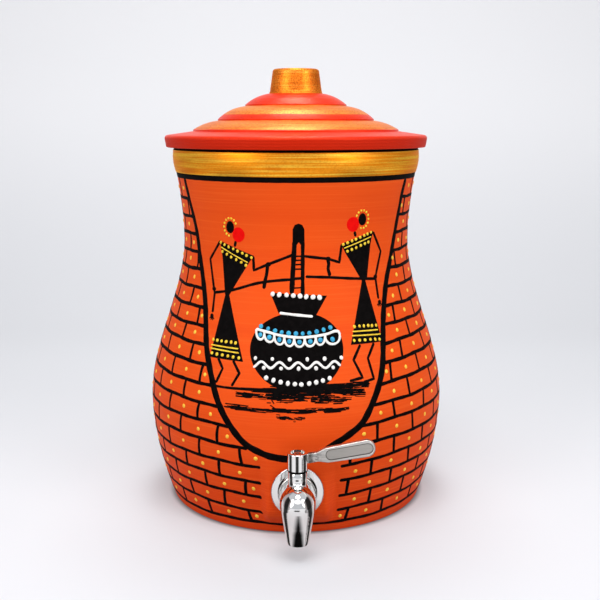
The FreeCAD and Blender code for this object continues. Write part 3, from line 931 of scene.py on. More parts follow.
class Workpiece:
    """A mesh in millimetres that is being shaped, and the object that it becomes."""

    def __init__(self, name: str, body: Body, slot: Slot) -> None:
        """Start an empty piece.

        Args:
            name: The object's name.
            body: The body that it rides on.
            slot: A material slot of the record; it is kept, but not used.
        """
        self.name = name
        self.body = body
        self.slot = slot
        self.mesh = bmesh.new()

    def turn(
        self, profile: Sequence[Point], steps: int, paint: Callable[[Point], int]
    ) -> None:
        """Turn a closed profile round the pot's axis.

        Args:
            profile: Radius and height of its points, from the axis back to the axis.
            steps: How many steps go round.
            paint: Gives a face's material from the radius and height of its middle.
        """
        line, edges = wire(self.mesh, [(radius, 0.0, height) for radius, height in profile])
        bmesh.ops.spin(
            self.mesh,
            geom=line + edges,
            cent=(0.0, 0.0, 0.0),
            axis=(0.0, 0.0, 1.0),
            angle=2 * math.pi,
            steps=steps,
            use_merge=True,
        )
        bmesh.ops.remove_doubles(self.mesh, verts=self.mesh.verts, dist=1e-4)
        for face in self.mesh.faces:
            middle = face.calc_center_median()
            face.material_index = paint((math.hypot(middle.x, middle.y), middle.z))

    def finish(
        self, materials: Iterable[bpy.types.Material], crease: float = 38.0
    ) -> bpy.types.Object:
        """Close the mesh, turn it into metres and make it ride.

        Args:
            materials: The materials that its faces use.
            crease: Edges that turn by more than this many degrees stay sharp.

        Returns:
            The finished object.
        """
        bmesh.ops.recalc_face_normals(self.mesh, faces=self.mesh.faces)
        limit = math.radians(crease)
        for edge in self.mesh.edges:
            edge.smooth = edge.calc_face_angle(0.0) < limit
        for face in self.mesh.faces:
            face.smooth = True
        bmesh.ops.scale(self.mesh, vec=(MM, MM, MM), verts=self.mesh.verts)
        data = mesh_data(self.name, self.mesh)
        for material in materials:
            data.materials.append(material)
        made = add_object(data)
        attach(made, self.body.value)
        LOG.info("%s: %d faces", self.name, len(data.polygons))
        return made


# Pot


@dataclass
class Pot:
    """The thrown pot: its outside, the tap's pad, the gold rim and the bare inside."""

    foot_radius: float = 107.7
    foot_slope: float = 0.36
    foot_rounding: float = 2.2
    foot_corner: float = 0.8
    foot_tops: Point = (2.7, 3.2)
    flat_radius: float = 60.0
    belly: Point = (87.0, 125.0)
    waist: Point = (223.0, 94.6)
    neck: Point = (277.0, 100.0)
    neck_slope: float = 0.17
    rim_top: float = 297.0
    rim_step: float = 0.6
    rim_bulge: float = 2.6
    rim_rounding: float = 3.0
    mouth_rounding: float = 2.5
    wall: float = 9.0
    floor: float = 12.0
    floor_rounding: float = 13.0
    floor_edge: float = 14.0
    tap_side: float = -60.0
    tap_half_width: float = 38.0
    tap_heights: Point = (3.0, 92.0)
    pad_sides: Point = (19.5, 30.0)
    pad_heights: tuple[float, float, float, float] = (6.0, 25.0, 62.0, 83.0)
    pad_flat_height: float = 62.0
    tap_height: float = 42.0
    seat_radius: float = 17.5
    seat_level: float = 59.5
    steps: int = 240

    def thrown(self, height: float) -> float:
        """Outside radius of the thrown wall.

        Args:
            height: Height in millimetres.

        Returns:
            The radius in millimetres.
        """
        if height < self.belly[0]:
            return hermite((0.0, self.foot_radius), self.belly, (self.foot_slope, 0.0), height)
        if height < self.waist[0]:
            return hermite(self.belly, self.waist, (0.0, 0.0), height)
        top = min(height, self.neck[0])
        return hermite(self.waist, self.neck, (0.0, self.neck_slope), top)

    def surface(self, turn: float, height: float) -> float:
        """Outside radius in a direction at a height, with the tap's pad blended in.

        Args:
            turn: Angle from the front towards the right, in radians.
            height: Height in millimetres.

        Returns:
            The radius in millimetres.
        """
        radius = self.thrown(height)
        foot, low, high, head = self.pad_heights
        if math.cos(turn) < 0.9 or not foot < height < head:
            return radius
        across = abs(radius * math.sin(turn))
        flat = self.thrown(self.pad_flat_height) / math.cos(turn)
        share = 1 - ease(across, *self.pad_sides)
        share *= ease(height, foot, low) * (1 - ease(height, high, head))
        return radius + (flat - radius) * share

    def place(self, turn: float, height: float, proud: float) -> Vector:
        """Point a little above the outside, in a direction and at a height."""
        radius = self.surface(turn, height) + proud
        return Vector((radius * math.sin(turn), -radius * math.cos(turn), height))

    def profile(self) -> list[Point]:
        """Section of the pot.

        Returns:
            Radius and height of its points, from the foot's centre to the floor's.
        """
        corner = (self.thrown(self.foot_corner), 0, self.foot_rounding)
        arc_top, wall_foot = self.foot_tops
        foot = rounded([(0, 0, 0), corner, (self.thrown(arc_top), arc_top, 0)])[1:-1]
        wall = [(self.thrown(height), height) for height in (wall_foot, *range(4, 277, 4))]
        rim_low = (self.neck[1] + self.rim_step, self.neck[0])
        rim_side = (self.neck[1] + self.rim_bulge, self.rim_top - self.rim_rounding)
        mouth = self.neck[1] - self.wall
        rim = rounded(
            [
                (rim_side[0], rim_side[1] - 1, 0),
                (rim_side[0], self.rim_top, self.rim_rounding),
                (mouth, self.rim_top, self.mouth_rounding),
                (mouth, self.neck[0], 0),
            ]
        )
        inner_base = self.floor + self.floor_edge
        inside = [(self.thrown(height) - self.wall, height) for height in range(272, 26, -4)]
        edge = (self.thrown(inner_base) - self.wall, inner_base + 1.5, 0)
        bend = (self.thrown(self.floor) - self.wall + 1.2, self.floor, self.floor_rounding)
        floor = rounded([edge, bend, (0, self.floor, 0)], 8)
        outside = [(0.0, 0.0), (self.flat_radius, 0.0), *foot, *wall]
        bulge = crowned(rim_low, rim_side, (self.rim_bulge - self.rim_step) / 2, 7)
        upper = [(self.neck[1], self.neck[0]), rim_low, *bulge[:-1], *rim]
        inner = [*inside, *floor[:-1], (self.flat_radius, self.floor), (0.0, self.floor)]
        return outside + upper + inner

    def refine(self, piece: Workpiece) -> None:
        """Divide the faces round the tap more finely, outside and in.

        Args:
            piece: The pot's mesh.
        """
        chosen = set()
        low, high = self.tap_heights
        for face in piece.mesh.faces:
            middle = face.calc_center_median()
            in_front = middle.y < self.tap_side and abs(middle.x) < self.tap_half_width
            if in_front and low < middle.z < high:
                chosen.update(face.edges)
        bmesh.ops.subdivide_edges(piece.mesh, edges=list(chosen), cuts=2, use_grid_fill=True)

    def settle(self, piece: Workpiece) -> None:
        """Move the outside onto the padded surface, and flatten the seat inside.

        Args:
            piece: The pot's mesh.
        """
        seat = self.thrown(self.seat_level) - self.wall
        for vert in piece.mesh.verts:
            radius = math.hypot(vert.co.x, vert.co.y)
            height = vert.co.z
            turn = math.atan2(vert.co.x, -vert.co.y)
            outside = radius > self.thrown(height) - self.wall / 2
            if outside and self.foot_tops[1] < height < self.neck[0] - 0.5:
                vert.co = self.place(turn, height, 0.0)
            elif not outside and vert.co.y < self.tap_side and height > self.floor + 2:
                away = math.hypot(vert.co.x, height - self.tap_height)
                if away < self.seat_radius:
                    vert.co.y = -seat

    def build(self) -> bpy.types.Object:
        """Make the pot's piece, which stands for its node.

        Returns:
            The finished piece.
        """
        piece = Workpiece("thrown_pot", Body.POT, Slot.POT_CLAY)
        rim_start = self.neck[0] + 0.1
        # Painted shade: above this height the rim's outside is black, for the dark gap under the
        # lid's flange.
        lip = self.rim_top - 2.1

        def paint(spot: Point) -> int:
            """Orange outside, gold rim with painted shade in black on its lip under the lid, bare
            clay inside and underneath.

            Args:
                spot: Radius and height of a face's middle.

            Returns:
                The number of its material.
            """
            if spot[1] > rim_start:
                if spot[0] < self.neck[1] - self.wall + 0.3:
                    return 2
                return 3 if spot[1] > lip else 1
            outside = spot[0] > self.thrown(spot[1]) - self.wall / 2 and spot[1] > 0.4
            return 0 if outside else 2

        piece.turn(self.profile(), self.steps, paint)
        self.refine(piece)
        self.settle(piece)
        # The black ink here is the painted shade on the rim's lip.
        finishes = (WallPaint(), RIM_GOLD, BareClay(), INKS[Ink.BLACK])
        made = piece.finish([finish.material() for finish in finishes])
        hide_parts("pot_body")
        return made


# Lid


@dataclass
class Lid:
    """The lid: flange, three domed tiers, knob, and the ring that drops into the mouth."""

    rim_top: float = 297.0
    flange_radius: float = 109.6
    flange_taper: float = 1.6
    flange_edge: float = 306.5
    rounding: float = 2.6
    ring_radii: Point = (88.5, 80.5)
    ring_low: float = 286.0
    ring_rounding: float = 2.0
    tier_radii: Triple = (85.6, 65.0, 42.2)
    tier_feet: tuple[float, float, float, float] = (309.9, 318.4, 330.2, 340.4)
    tier_crowns: Triple = (1.2, 2.1, 1.5)
    riser: float = 1.2
    ledge: float = 0.8
    knob_radii: Triple = (22.4, 21.5, 19.0)
    knob_height: float = 20.0
    wall: float = 10.5
    steps: int = 240

    def profile(self) -> list[Point]:
        """Section of the lid.

        Returns:
            Radius and height of its points, from the knob's top to the hollow's.
        """
        knob_foot = self.tier_feet[3]
        top = knob_foot + self.knob_height
        foot, waist, head = self.knob_radii
        line = rounded(
            [(0, top, 0), (head, top, 2.4), (waist, knob_foot + 2.2, 2.5), (foot, knob_foot, 0)]
        )
        radii = (*self.tier_radii, foot)
        for index in (2, 1, 0):
            radius, low = self.tier_radii[index], self.tier_feet[index]
            start = (radii[index + 1] + self.ledge, self.tier_feet[index + 1])
            end = (radius, low + self.riser)
            crown = crowned(end, start, self.tier_crowns[index])[-2::-1]
            line += [start, *crown, end, (radius, low)]
        flange = rounded(
            [
                (self.tier_radii[0], self.tier_feet[0], 0),
                (self.flange_radius, self.flange_edge, self.rounding),
                (self.flange_radius - self.flange_taper, self.rim_top, 1.0),
                (self.ring_radii[0], self.rim_top, 0),
            ]
        )
        outer, inner = self.ring_radii
        ring = rounded(
            [
                (outer, self.rim_top, 0),
                (outer, self.ring_low, self.ring_rounding),
                (inner, self.ring_low, self.ring_rounding),
                (inner, self.rim_top, 0),
            ]
        )
        hollow = [
            (self.tier_radii[1], self.tier_feet[1] - self.wall),
            (foot, knob_foot - self.wall),
            (0.0, knob_foot - self.wall),
        ]
        return spread(line + flange[1:] + ring[1:] + hollow, 4.0)

    def build(self) -> bpy.types.Object:
        """Make the lid's piece, which stands for its node.

        Returns:
            The finished piece.
        """
        piece = Workpiece("turned_lid", Body.LID, Slot.LID_CLAY)
        knob_foot = self.tier_feet[3]

        def paint(spot: Point) -> int:
            """Painted tiers and flange, copper-gold knob, bare clay underneath.

            Args:
                spot: Radius and height of a face's middle.

            Returns:
                The number of its material.
            """
            radius, height = spot
            if radius < self.knob_radii[0] + 1.2 and height > knob_foot - 0.5:
                return 1
            under_flange = height < self.rim_top + 0.2 and radius < self.flange_radius - 8
            in_hollow = radius < self.ring_radii[0] + 0.1 and height < self.roof(radius) - 3
            return 2 if under_flange or in_hollow else 0

        piece.turn(self.profile(), self.steps, paint)
        made = piece.finish([LidPaint().material(), KNOB_GOLD.material(), BareClay().material()])
        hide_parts("lid")
        return made

    def roof(self, radius: float) -> float:
        """Height of the lid's outside, as straight runs between the tiers.

        Args:
            radius: Distance from the axis.

        Returns:
            The height at that radius.
        """
        radii = (self.flange_radius, *self.tier_radii, self.knob_radii[0], 0.0)
        heights = (self.flange_edge, *self.tier_feet, self.tier_feet[3] + self.knob_height)
        for outer, inner, low, high in zip(radii, radii[1:], heights, heights[1:]):
            if inner <= radius <= outer:
                return low + (high - low) * (outer - radius) / (outer - inner)
        return self.flange_edge


# Paint


class PaintWork:
    """Paint drawn flat, in millimetres round and up the pot, and bent on to it."""

    SUNK = -0.15
    SECTION = ((-1.0, SUNK), (-0.92, 0.1), (-0.5, 0.2), (0.5, 0.2), (0.92, 0.1), (1.0, SUNK))
    FLUSH = 1500
    CUTS = (3.5, 7.0)

    def __init__(self, name: str, pot: Pot) -> None:
        """Start an empty piece of painting.

        Args:
            name: The object's name, which also seeds the hand's small slips.
            pot: The pot that it is painted on.
        """
        self.pot = pot
        self.piece = Workpiece(name, Body.POT, Slot.POT_CLAY)
        self.hand = random.Random(name)
        self.inks: list[Ink] = []
        self.pen = bmesh.new()

    def at(self, turn: float, height: float) -> Point:
        """Flat place of a direction in degrees from the front, and a height."""
        return math.radians(turn) * self.pot.thrown(height), height

    def pick(self, ink: Ink) -> int:
        """Find the material number of a colour.

        Args:
            ink: The colour, which gets the next number when it is new.

        Returns:
            Its number.
        """
        if ink not in self.inks:
            self.inks.append(ink)
        return self.inks.index(ink)

    def wrap(self, verts: Iterable[bmesh.types.BMVert], anchor: Point) -> None:
        """Bend flat points on to the pot.

        Args:
            verts: Points that are still flat: across, up and out.
            anchor: The place near them whose level sets how wide they come out.
        """
        turn = anchor[0] / self.pot.thrown(anchor[1])
        for vert in verts:
            across, height, proud = vert.co
            near = turn + (across - anchor[0]) / self.pot.thrown(height)
            vert.co = self.pot.place(near, height, proud)

    def span(self, start: Point, end: Point) -> float:
        """Length on the pot between two (angle, height) places."""
        radius = self.pot.thrown(0.5 * (start[1] + end[1]))
        return math.hypot((end[0] - start[0]) * radius, end[1] - start[1])

    def phase(self) -> float:
        """Random start of a waver, in radians."""
        return self.hand.uniform(0, 6.3)

    def add(self, shape: bmesh.types.BMesh) -> None:
        """Copy a shape on to the piece.

        Args:
            shape: The shape, which is left as it is.
        """
        held = bpy.data.meshes.new("held")
        shape.to_mesh(held)
        self.piece.mesh.from_mesh(held)
        bpy.data.meshes.remove(held)

    def lift(self) -> None:
        """Move what the pen holds on to the piece."""
        self.add(self.pen)
        self.pen.clear()

    def stroke(
        self,
        path: Sequence[Point],
        width: float,
        ink: Ink = Ink.BLACK,
        proud: float = 1.0,
        uneven: float = 0.1,
    ) -> None:
        """Draw one round-ended stroke.

        Args:
            path: The line's points, close together.
            width: The stroke's width.
            ink: Its colour.
            proud: How thick the paint is, where 1 is a fifth of a millimetre.
            uneven: How much the width changes along it.
        """
        line = [(across / self.pot.thrown(height), height) for across, height in path]
        lengths = [self.span(start, end) for start, end in zip(line, line[1:])]
        total = sum(lengths)
        lead = (0.1 * width, 0.28 * width, 0.5 * width)
        marks = sorted([*lead, *(total - mark for mark in lead)])
        stations, reach = [(0.0, line[0])], 0.0
        for start, end, length in zip(line, line[1:], lengths):
            for mark in marks:
                if reach + 0.02 < mark < reach + length - 0.02:
                    share = (mark - reach) / length
                    spot = tuple(a + (b - a) * share for a, b in zip(start, end))
                    stations.append((mark, spot))
            reach += length
            stations.append((reach, end))
        phase = self.phase()
        rings = []
        for index, (reach, (turn, height)) in enumerate(stations):
            before = stations[max(index - 1, 0)][1]
            after = stations[min(index + 1, len(stations) - 1)][1]
            radius = self.pot.thrown(height)
            across = Vector((before[1] - after[1], (after[0] - before[0]) * radius)).normalized()
            near = min(1.0, min(reach, total - reach) / (0.5 * width))
            half = 0.5 * width * max(0.1, math.sqrt(1 - (1 - near) ** 2))
            half *= 1 + uneven * math.sin(reach * 0.45 + phase) * math.sin(reach * 0.13)
            ring = []
            for side, rise in self.SECTION:
                shift = across * (side * half)
                level = height + shift.y
                lift = rise * (proud if rise > 0 else 1.0)
                ring.append(self.pot.place(turn + shift.x / radius, level, lift))
            rings.append(ring)
        sweep(self.pen, rings, self.pick(ink))
        if len(self.pen.verts) > self.FLUSH:
            self.lift()

    def line(
        self, points: Sequence[Point], width: float, ink: Ink = Ink.BLACK, proud: float = 1.0
    ) -> None:
        """Draw a smooth stroke through a few points."""
        self.stroke(eased(points, max(0.8, 0.8 * width)), width, ink, proud)

    def joined(
        self, points: Sequence[Point], width: float, ink: Ink = Ink.BLACK, proud: float = 1.0
    ) -> None:
        """Draw a stroke with corners, such as an arm."""
        self.stroke(spread(points, 2.0), width, ink, proud)

    def fill(self, outline: Sequence[Point], ink: Ink, thick: float = 0.18) -> None:
        """Fill a closed outline with paint.

        Args:
            outline: Its corners.
            ink: The colour.
            thick: How far the paint stands up.
        """
        shape = bmesh.new()
        corners = [shape.verts.new((x, y, thick)) for x, y in outline]
        top = shape.faces.new(corners)
        top.normal_update()
        if top.normal.z < 0:
            top.normal_flip()
        outer = list(top.verts)
        bmesh.ops.inset_region(shape, faces=[top], thickness=0.3, use_even_offset=True)
        for vert in outer:
            vert.co.z = thick * 0.4
        rim = [edge for edge in shape.edges if edge.is_boundary]
        made = bmesh.ops.extrude_edge_only(shape, edges=rim)["geom"]
        for item in made:
            if isinstance(item, bmesh.types.BMVert):
                item.co.z = self.SUNK
        bmesh.ops.holes_fill(shape, edges=[edge for edge in shape.edges if edge.is_boundary])
        low = [min(point[axis] for point in outline) for axis in (0, 1)]
        high = [max(point[axis] for point in outline) for axis in (0, 1)]
        for axis, gap in enumerate(self.CUTS):
            normal = Vector((1.0, 0.0, 0.0)) if axis == 0 else Vector((0.0, 1.0, 0.0))
            cut = low[axis] + gap
            while cut < high[axis]:
                parts = shape.verts[:] + shape.edges[:] + shape.faces[:]
                bmesh.ops.bisect_plane(
                    shape, geom=parts, dist=1e-4, plane_co=normal * cut, plane_no=normal
                )
                cut += gap
        number = self.pick(ink)
        for face in shape.faces:
            face.material_index = number
        self.wrap(shape.verts, (0.0, low[1]))
        self.add(shape)
        shape.free()

    def disc(self, centre: Point, width: float, height: float, ink: Ink) -> None:
        """Fill an oval.

        Args:
            centre: Its middle.
            width: How wide it is.
            height: How tall it is.
            ink: Its colour.
        """
        count = max(14, int(1.3 * width))
        phase = self.phase()
        outline = []
        for index in range(count):
            angle = 2 * math.pi * index / count
            slip = 0.5 * (1 + 0.012 * math.sin(3 * angle + phase))
            x = centre[0] + width * slip * math.cos(angle)
            outline.append((x, centre[1] + height * slip * math.sin(angle)))
        self.fill(outline, ink)

    def drop(self, centre: Point, size: float, ink: Ink, thick: float = 0.6) -> None:
        """Set down one domed drop of paint.

        Args:
            centre: Where it is.
            size: About how wide it is.
            ink: Its colour.
            thick: How high its top stands.
        """
        wide = 0.5 * size * self.hand.uniform(0.9, 1.1)
        tall = 0.5 * size * self.hand.uniform(0.95, 1.15)
        lean = Matrix.Rotation(self.hand.uniform(-0.6, 0.6), 4, "Z")
        spot = Matrix.Translation((centre[0], centre[1], 0.05))
        form = spot @ lean @ Matrix.Diagonal((wide, tall, thick, 1.0))
        made = bmesh.ops.create_uvsphere(
            self.pen, u_segments=10, v_segments=6, radius=1.0, matrix=form
        )
        number = self.pick(ink)
        for face in {face for vert in made["verts"] for face in vert.link_faces}:
            face.material_index = number
        self.wrap(made["verts"], centre)
        if len(self.pen.verts) > self.FLUSH:
            self.lift()

    def drops(
        self, start: Point, end: Point, count: int, size: float, ink: Ink, sag: float = 0.0
    ) -> None:
        """Set down a row of drops.

        Args:
            start: The first drop.
            end: The last one.
            count: How many there are.
            size: Their width.
            ink: Their colour.
            sag: How far the row's middle hangs below its ends.
        """
        for index in range(count):
            t = index / (count - 1)
            slip = self.hand.uniform(-0.3, 0.3)
            x = start[0] + (end[0] - start[0]) * t + slip
            y = start[1] + (end[1] - start[1]) * t - 4 * sag * t * (1 - t) + 0.5 * slip
            self.drop((x, y), size, ink)

    def dry(self) -> bpy.types.Object:
        """Let the paint dry, which finishes the piece.

        Returns:
            The finished piece.
        """
        self.lift()
        self.pen.free()
        return self.piece.finish([INKS[ink].material() for ink in self.inks], 60.0)


@dataclass
class PanelBorder:
    """The black U that frames the picture, and the band under the rim."""

    pot: Pot
    width: float = 5.7
    band_height: float = 274.9
    band_width: float = 4.5
    left: Path = (
        (-64, 273.5), (-62, 257), (-57.5, 234), (-54.3, 214), (-49.5, 196), (-44.3, 176.5),
        (-39.3, 150), (-36.7, 138), (-33.4, 124), (-29.6, 107.5), (-25.3, 93), (-19.3, 78.2),
        (-12.7, 70.7), (-5, 66.8),
    )
    right: Path = (
        (2, 66.6), (7.5, 70), (12.6, 77), (18.3, 84), (23.4, 92), (27.6, 105), (31.6, 119.5),
        (34.8, 135), (38.7, 161.5), (42.2, 178.5), (46.5, 195), (51.3, 209.5), (55.7, 229),
        (58.6, 250), (59.6, 262), (61.2, 273.5),
    )

    def edge(self, side: int, height: float) -> float:
        """Direction of the U at a height, in degrees from the front.

        Args:
            side: -1 for the left arm, 1 for the right.
            height: Height in millimetres.

        Returns:
            The angle, which is negative on the left.
        """
        arm = sorted(self.left if side < 0 else self.right, key=lambda point: point[1])
        for (low_turn, low), (high_turn, high) in zip(arm, arm[1:]):
            if low <= height <= high:
                return low_turn + (high_turn - low_turn) * (height - low) / (high - low)
        return arm[-1][0] if height > arm[-1][1] else arm[0][0]

    def build(self) -> None:
        """Paint the U and the band."""
        work = PaintWork("panel_border", self.pot)
        path = [work.at(turn, height) for turn, height in self.left + self.right]
        work.stroke(eased(path, 2.5), self.width, uneven=0.08)
        ring = [work.at(turn, self.band_height) for turn in range(-181, 182, 2)]
        work.stroke(ring, self.band_width, uneven=0.03)
        work.dry()


@dataclass
class Brickwork:
    """Black brick lines round the pot outside the panel, with a golden drop on each brick."""

    pot: Pot
    border: PanelBorder
    lines: tuple[float, ...] = (
        9.3, 22.3, 36.0, 49.0, 62.0, 76.5, 91.5, 105.5, 120.0, 134.5,
        148.5, 161.5, 175.0, 189.0, 203.0, 216.0, 230.0, 244.0, 258.0, 274.0,
    )
    line_width: float = 2.9
    brick: float = 17.8
    droop: float = 4.0
    droop_turn: float = 30.0
    tilt: float = 1.0
    pad_edges: Point = (-13.2, 15.6)
    pad_top: float = 66.0
    first_joint: float = 2.0
    dot_size: float = 3.1

    def height(self, line: int, turn: float) -> float:
        """Height of a brick line.

        Args:
            line: The line's number from the foot.
            turn: The direction, in degrees from the front.

        Returns:
            The height in millimetres.
        """
        turn = (turn + 180.0) % 360.0 - 180.0
        droop = 1.0 if line == 0 else self.droop
        if line == len(self.lines) - 1:
            droop = 0.0
        fall = droop * math.exp(-((turn / self.droop_turn) ** 2))
        return self.lines[line] - fall + self.tilt * math.sin(math.radians(turn))

    def start(self, side: int, height: float) -> float:
        """Direction where the brickwork starts beside the panel or the tap's pad.

        Args:
            side: -1 for the left, 1 for the right.
            height: Height in millimetres.

        Returns:
            The angle in degrees from the front.
        """
        if height < self.pad_top:
            return self.pad_edges[0 if side < 0 else 1]
        return self.border.edge(side, height)

    def paint_line(self, work: PaintWork, line: int) -> None:
        """Paint one level line round the back from the panel's one side to the other.

        Args:
            work: The painting.
            line: The line's number from the foot.
        """
        first = self.start(1, self.lines[line])
        last = 360.0 + self.start(-1, self.lines[line])
        if line == 0:
            first, last = -1.0, 361.0
        count = int((last - first) / 1.8)
        phases = [work.phase() for _ in range(3)]
        path = []
        for index in range(count + 1):
            turn = first + (last - first) * index / count
            slip = 0.35 * math.sin(turn * 0.11 + phases[0])
            slip += 0.22 * math.sin(turn * 0.37 + phases[1])
            path.append(work.at(turn, self.height(line, turn) + slip))
        work.stroke(path, self.line_width * work.hand.uniform(0.94, 1.06), uneven=0.14)

    def joints(self, row: int) -> list[float]:
        """Directions of a row's upright joints, going round the back.

        Args:
            row: The row's number from the foot.

        Returns:
            The angles in degrees from the front, with the row's two ends.
        """
        middle = 0.5 * (self.lines[row] + self.lines[row + 1])
        first = self.start(1, middle)
        last = 360.0 + self.start(-1, middle)
        offset = 180.0 if row % 2 == 0 else 180.0 - self.brick / 2
        turns = [offset + self.brick * step for step in range(-10, 12)]
        gap = self.first_joint
        inside = [turn for turn in turns if first + gap < turn < last - gap]
        return [first, *inside, last]

    def build(self) -> None:
        """Paint the lines, the joints and the drops."""
        lines = PaintWork("brick_lines", self.pot)
        drops = PaintWork("brick_drops", self.pot)
        for line in range(len(self.lines) - 1):
            self.paint_line(lines, line)
        for row in range(len(self.lines) - 1):
            turns = self.joints(row)
            slipped = [turn + lines.hand.uniform(-1.0, 1.0) for turn in turns[1:-1]]
            for turn in slipped:
                lean = lines.hand.uniform(-0.5, 0.5)
                low = lines.at(turn + lean, self.height(row, turn))
                high = lines.at(turn - lean, self.height(row + 1, turn))
                lines.stroke(spread([low, high], 2.4), self.line_width * 0.95, uneven=0.1)
            ends = [turns[0], *slipped, turns[-1]]
            for start, end in zip(ends, ends[1:]):
                if end - start > 4.0:
                    turn = 0.5 * (start + end) + drops.hand.uniform(-0.5, 0.5)
                    level = 0.5 * (self.height(row, turn) + self.height(row + 1, turn))
                    spot = drops.at(turn, level + drops.hand.uniform(-0.7, 0.7))
                    drops.drop(spot, self.dot_size, Ink.GOLD)
        lines.dry()
        drops.dry()


@dataclass
class Dancer:
    """One of the two stick figures that work the churn, with its arms and its rope.

    Each field holds places in millimetres to the right of the front and up from the foot.
    """

    name: str
    bun: Point
    head: Point
    neck: Pair
    torso: Path
    shoulder_dots: Pair
    sash: Pair
    chest_dots: Pair
    skirt: tuple[Point, Point, Point, Point]
    hem_dots: tuple[Point, Point, Point, Point]
    hem_lines: tuple[Point, Point, Point, Point]
    outer_arm: Path
    hand: Point
    inner_arm: Path
    lower_rope: Path
    stick: Path
    lumps: Path
    legs: tuple[Path, ...]
    limb_width: float = 2.3

    def build(self, pot: Pot) -> None:
        """Paint the figure.

        Args:
            pot: The pot that it is painted on.
        """
        work = PaintWork(self.name, pot)
        for limb in (self.outer_arm, self.inner_arm, *self.legs):
            work.joined(limb, self.limb_width)
        work.line(self.lower_rope, self.limb_width)
        work.line(self.stick, self.limb_width * 1.25)
        work.joined(self.neck, self.limb_width * 1.1)
        for lump in self.lumps:
            work.disc(lump, 4.2, 3.4, Ink.BLACK)
        self.paint_hand(work)
        work.fill(self.torso, Ink.BLACK)
        work.fill(self.skirt, Ink.BLACK)
        work.disc(self.head, 11.0, 11.7, Ink.RED)
        work.disc(self.bun, 7.4, 9.6, Ink.BLACK)
        self.paint_garland(work)
        work.drops(*self.shoulder_dots, 8, 2.4, Ink.YELLOW)
        work.drops(*self.chest_dots, 6, 2.4, Ink.YELLOW)
        work.joined(self.sash, 0.95, Ink.YELLOW, 1.8)
        for start, end in (self.hem_lines[:2], self.hem_lines[2:]):
            work.joined((start, end), 1.1, Ink.YELLOW, 1.8)
        for start, end in (self.hem_dots[:2], self.hem_dots[2:]):
            work.drops(start, end, 6, 2.5, Ink.YELLOW)
        work.dry()

    def paint_hand(self, work: PaintWork) -> None:
        """Paint the free hand: a palm and four short fingers.

        Args:
            work: The painting.
        """
        work.disc(self.hand, 3.6, 3.4, Ink.BLACK)
        for index in range(4):
            angle = math.radians(-140 + 32 * index)
            tip = (self.hand[0] + 3.4 * math.cos(angle), self.hand[1] + 3.4 * math.sin(angle))
            work.joined((self.hand, tip), 1.0)

    def paint_garland(self, work: PaintWork) -> None:
        """Set yellow drops round the bun, apart from where the head is.

        Args:
            work: The painting.
        """
        for index in range(14):
            angle = 2 * math.pi * index / 14
            spot = (self.bun[0] + 5.8 * math.cos(angle), self.bun[1] + 6.9 * math.sin(angle))
            if math.dist(spot, self.head) > 6.4:
                work.drop(spot, 1.9, Ink.YELLOW, 0.45)


LEFT_DANCER = Dancer(
    name="left_dancer",
    bun=(-54, 238),
    head=(-46.5, 232.5),
    neck=((-49, 227.5), (-50, 223)),
    torso=((-64.5, 227), (-33.5, 217), (-36.5, 213), (-55.5, 185), (-59, 186), (-62, 215)),
    shoulder_dots=((-63.5, 225.5), (-35.5, 215.5)),
    sash=((-63.5, 222), (-38.5, 211.5)),
    chest_dots=((-62, 218.5), (-40, 209.5)),
    skirt=((-58.5, 186.5), (-72, 139), (-42, 138.5), (-55, 186.5)),
    hem_dots=((-69, 152), (-48.5, 151.5), (-70, 142), (-45.5, 141)),
    hem_lines=((-71, 148), (-46, 147.5), (-71.5, 145.5), (-45.5, 144.5)),
    outer_arm=((-64, 226.5), (-75.5, 211.5), (-70.5, 189.5), (-69.5, 186.5), (-71, 171.5)),
    hand=(-71.5, 169),
    inner_arm=((-34, 216.5), (-33.5, 206), (-22, 211), (-3, 218.5)),
    lower_rope=((-69.5, 186.5), (-52, 190), (-30.5, 196.5), (-15, 199), (-3, 200)),
    stick=((-22.5, 210.5), (-23.2, 204), (-24.6, 198), (-25.5, 192.5)),
    lumps=((-70.3, 189.3), (-21.8, 211)),
    legs=(
        ((-64, 139.5), (-59.5, 132), (-65.5, 121)),
        ((-50.5, 139), (-45, 130), (-51.5, 120)),
    ),
)

RIGHT_DANCER = Dancer(
    name="right_dancer",
    bun=(53, 244),
    head=(44.5, 240.5),
    neck=((46, 235), (47, 231)),
    torso=(
        (34.5, 226), (64, 234.5), (61.5, 224.5), (58, 199), (54.5, 194), (51.5, 198.5), (38, 219),
    ),
    shoulder_dots=((36.5, 225.5), (62, 233.5)),
    sash=((37, 222.5), (62, 230)),
    chest_dots=((40, 220), (59.5, 226)),
    skirt=((52.8, 196.5), (42, 150.5), (71, 150), (56.2, 196.5)),
    hem_dots=((45.5, 163.5), (65.5, 162.5), (45, 153.5), (68.5, 152)),
    hem_lines=((43.5, 160), (67, 159), (43, 157), (69.5, 155.5)),
    outer_arm=((64, 233.5), (73, 217.5), (66.5, 198), (69, 181.5)),
    hand=(70, 179),
    inner_arm=((35, 225.5), (33, 212), (24, 215), (5, 217.5)),
    lower_rope=((6.5, 202), (25, 201), (45, 199), (66.5, 197)),
    stick=((23.5, 215.5), (24.5, 211), (24, 207.5), (25.5, 202)),
    lumps=((24, 215), (66.5, 198.5)),
    legs=(
        ((50, 150), (44, 139.5), (51.5, 126), (40.5, 124.5)),
        ((62.5, 150), (56.5, 139.5), (61.5, 124), (52.5, 122.5)),
    ),
)


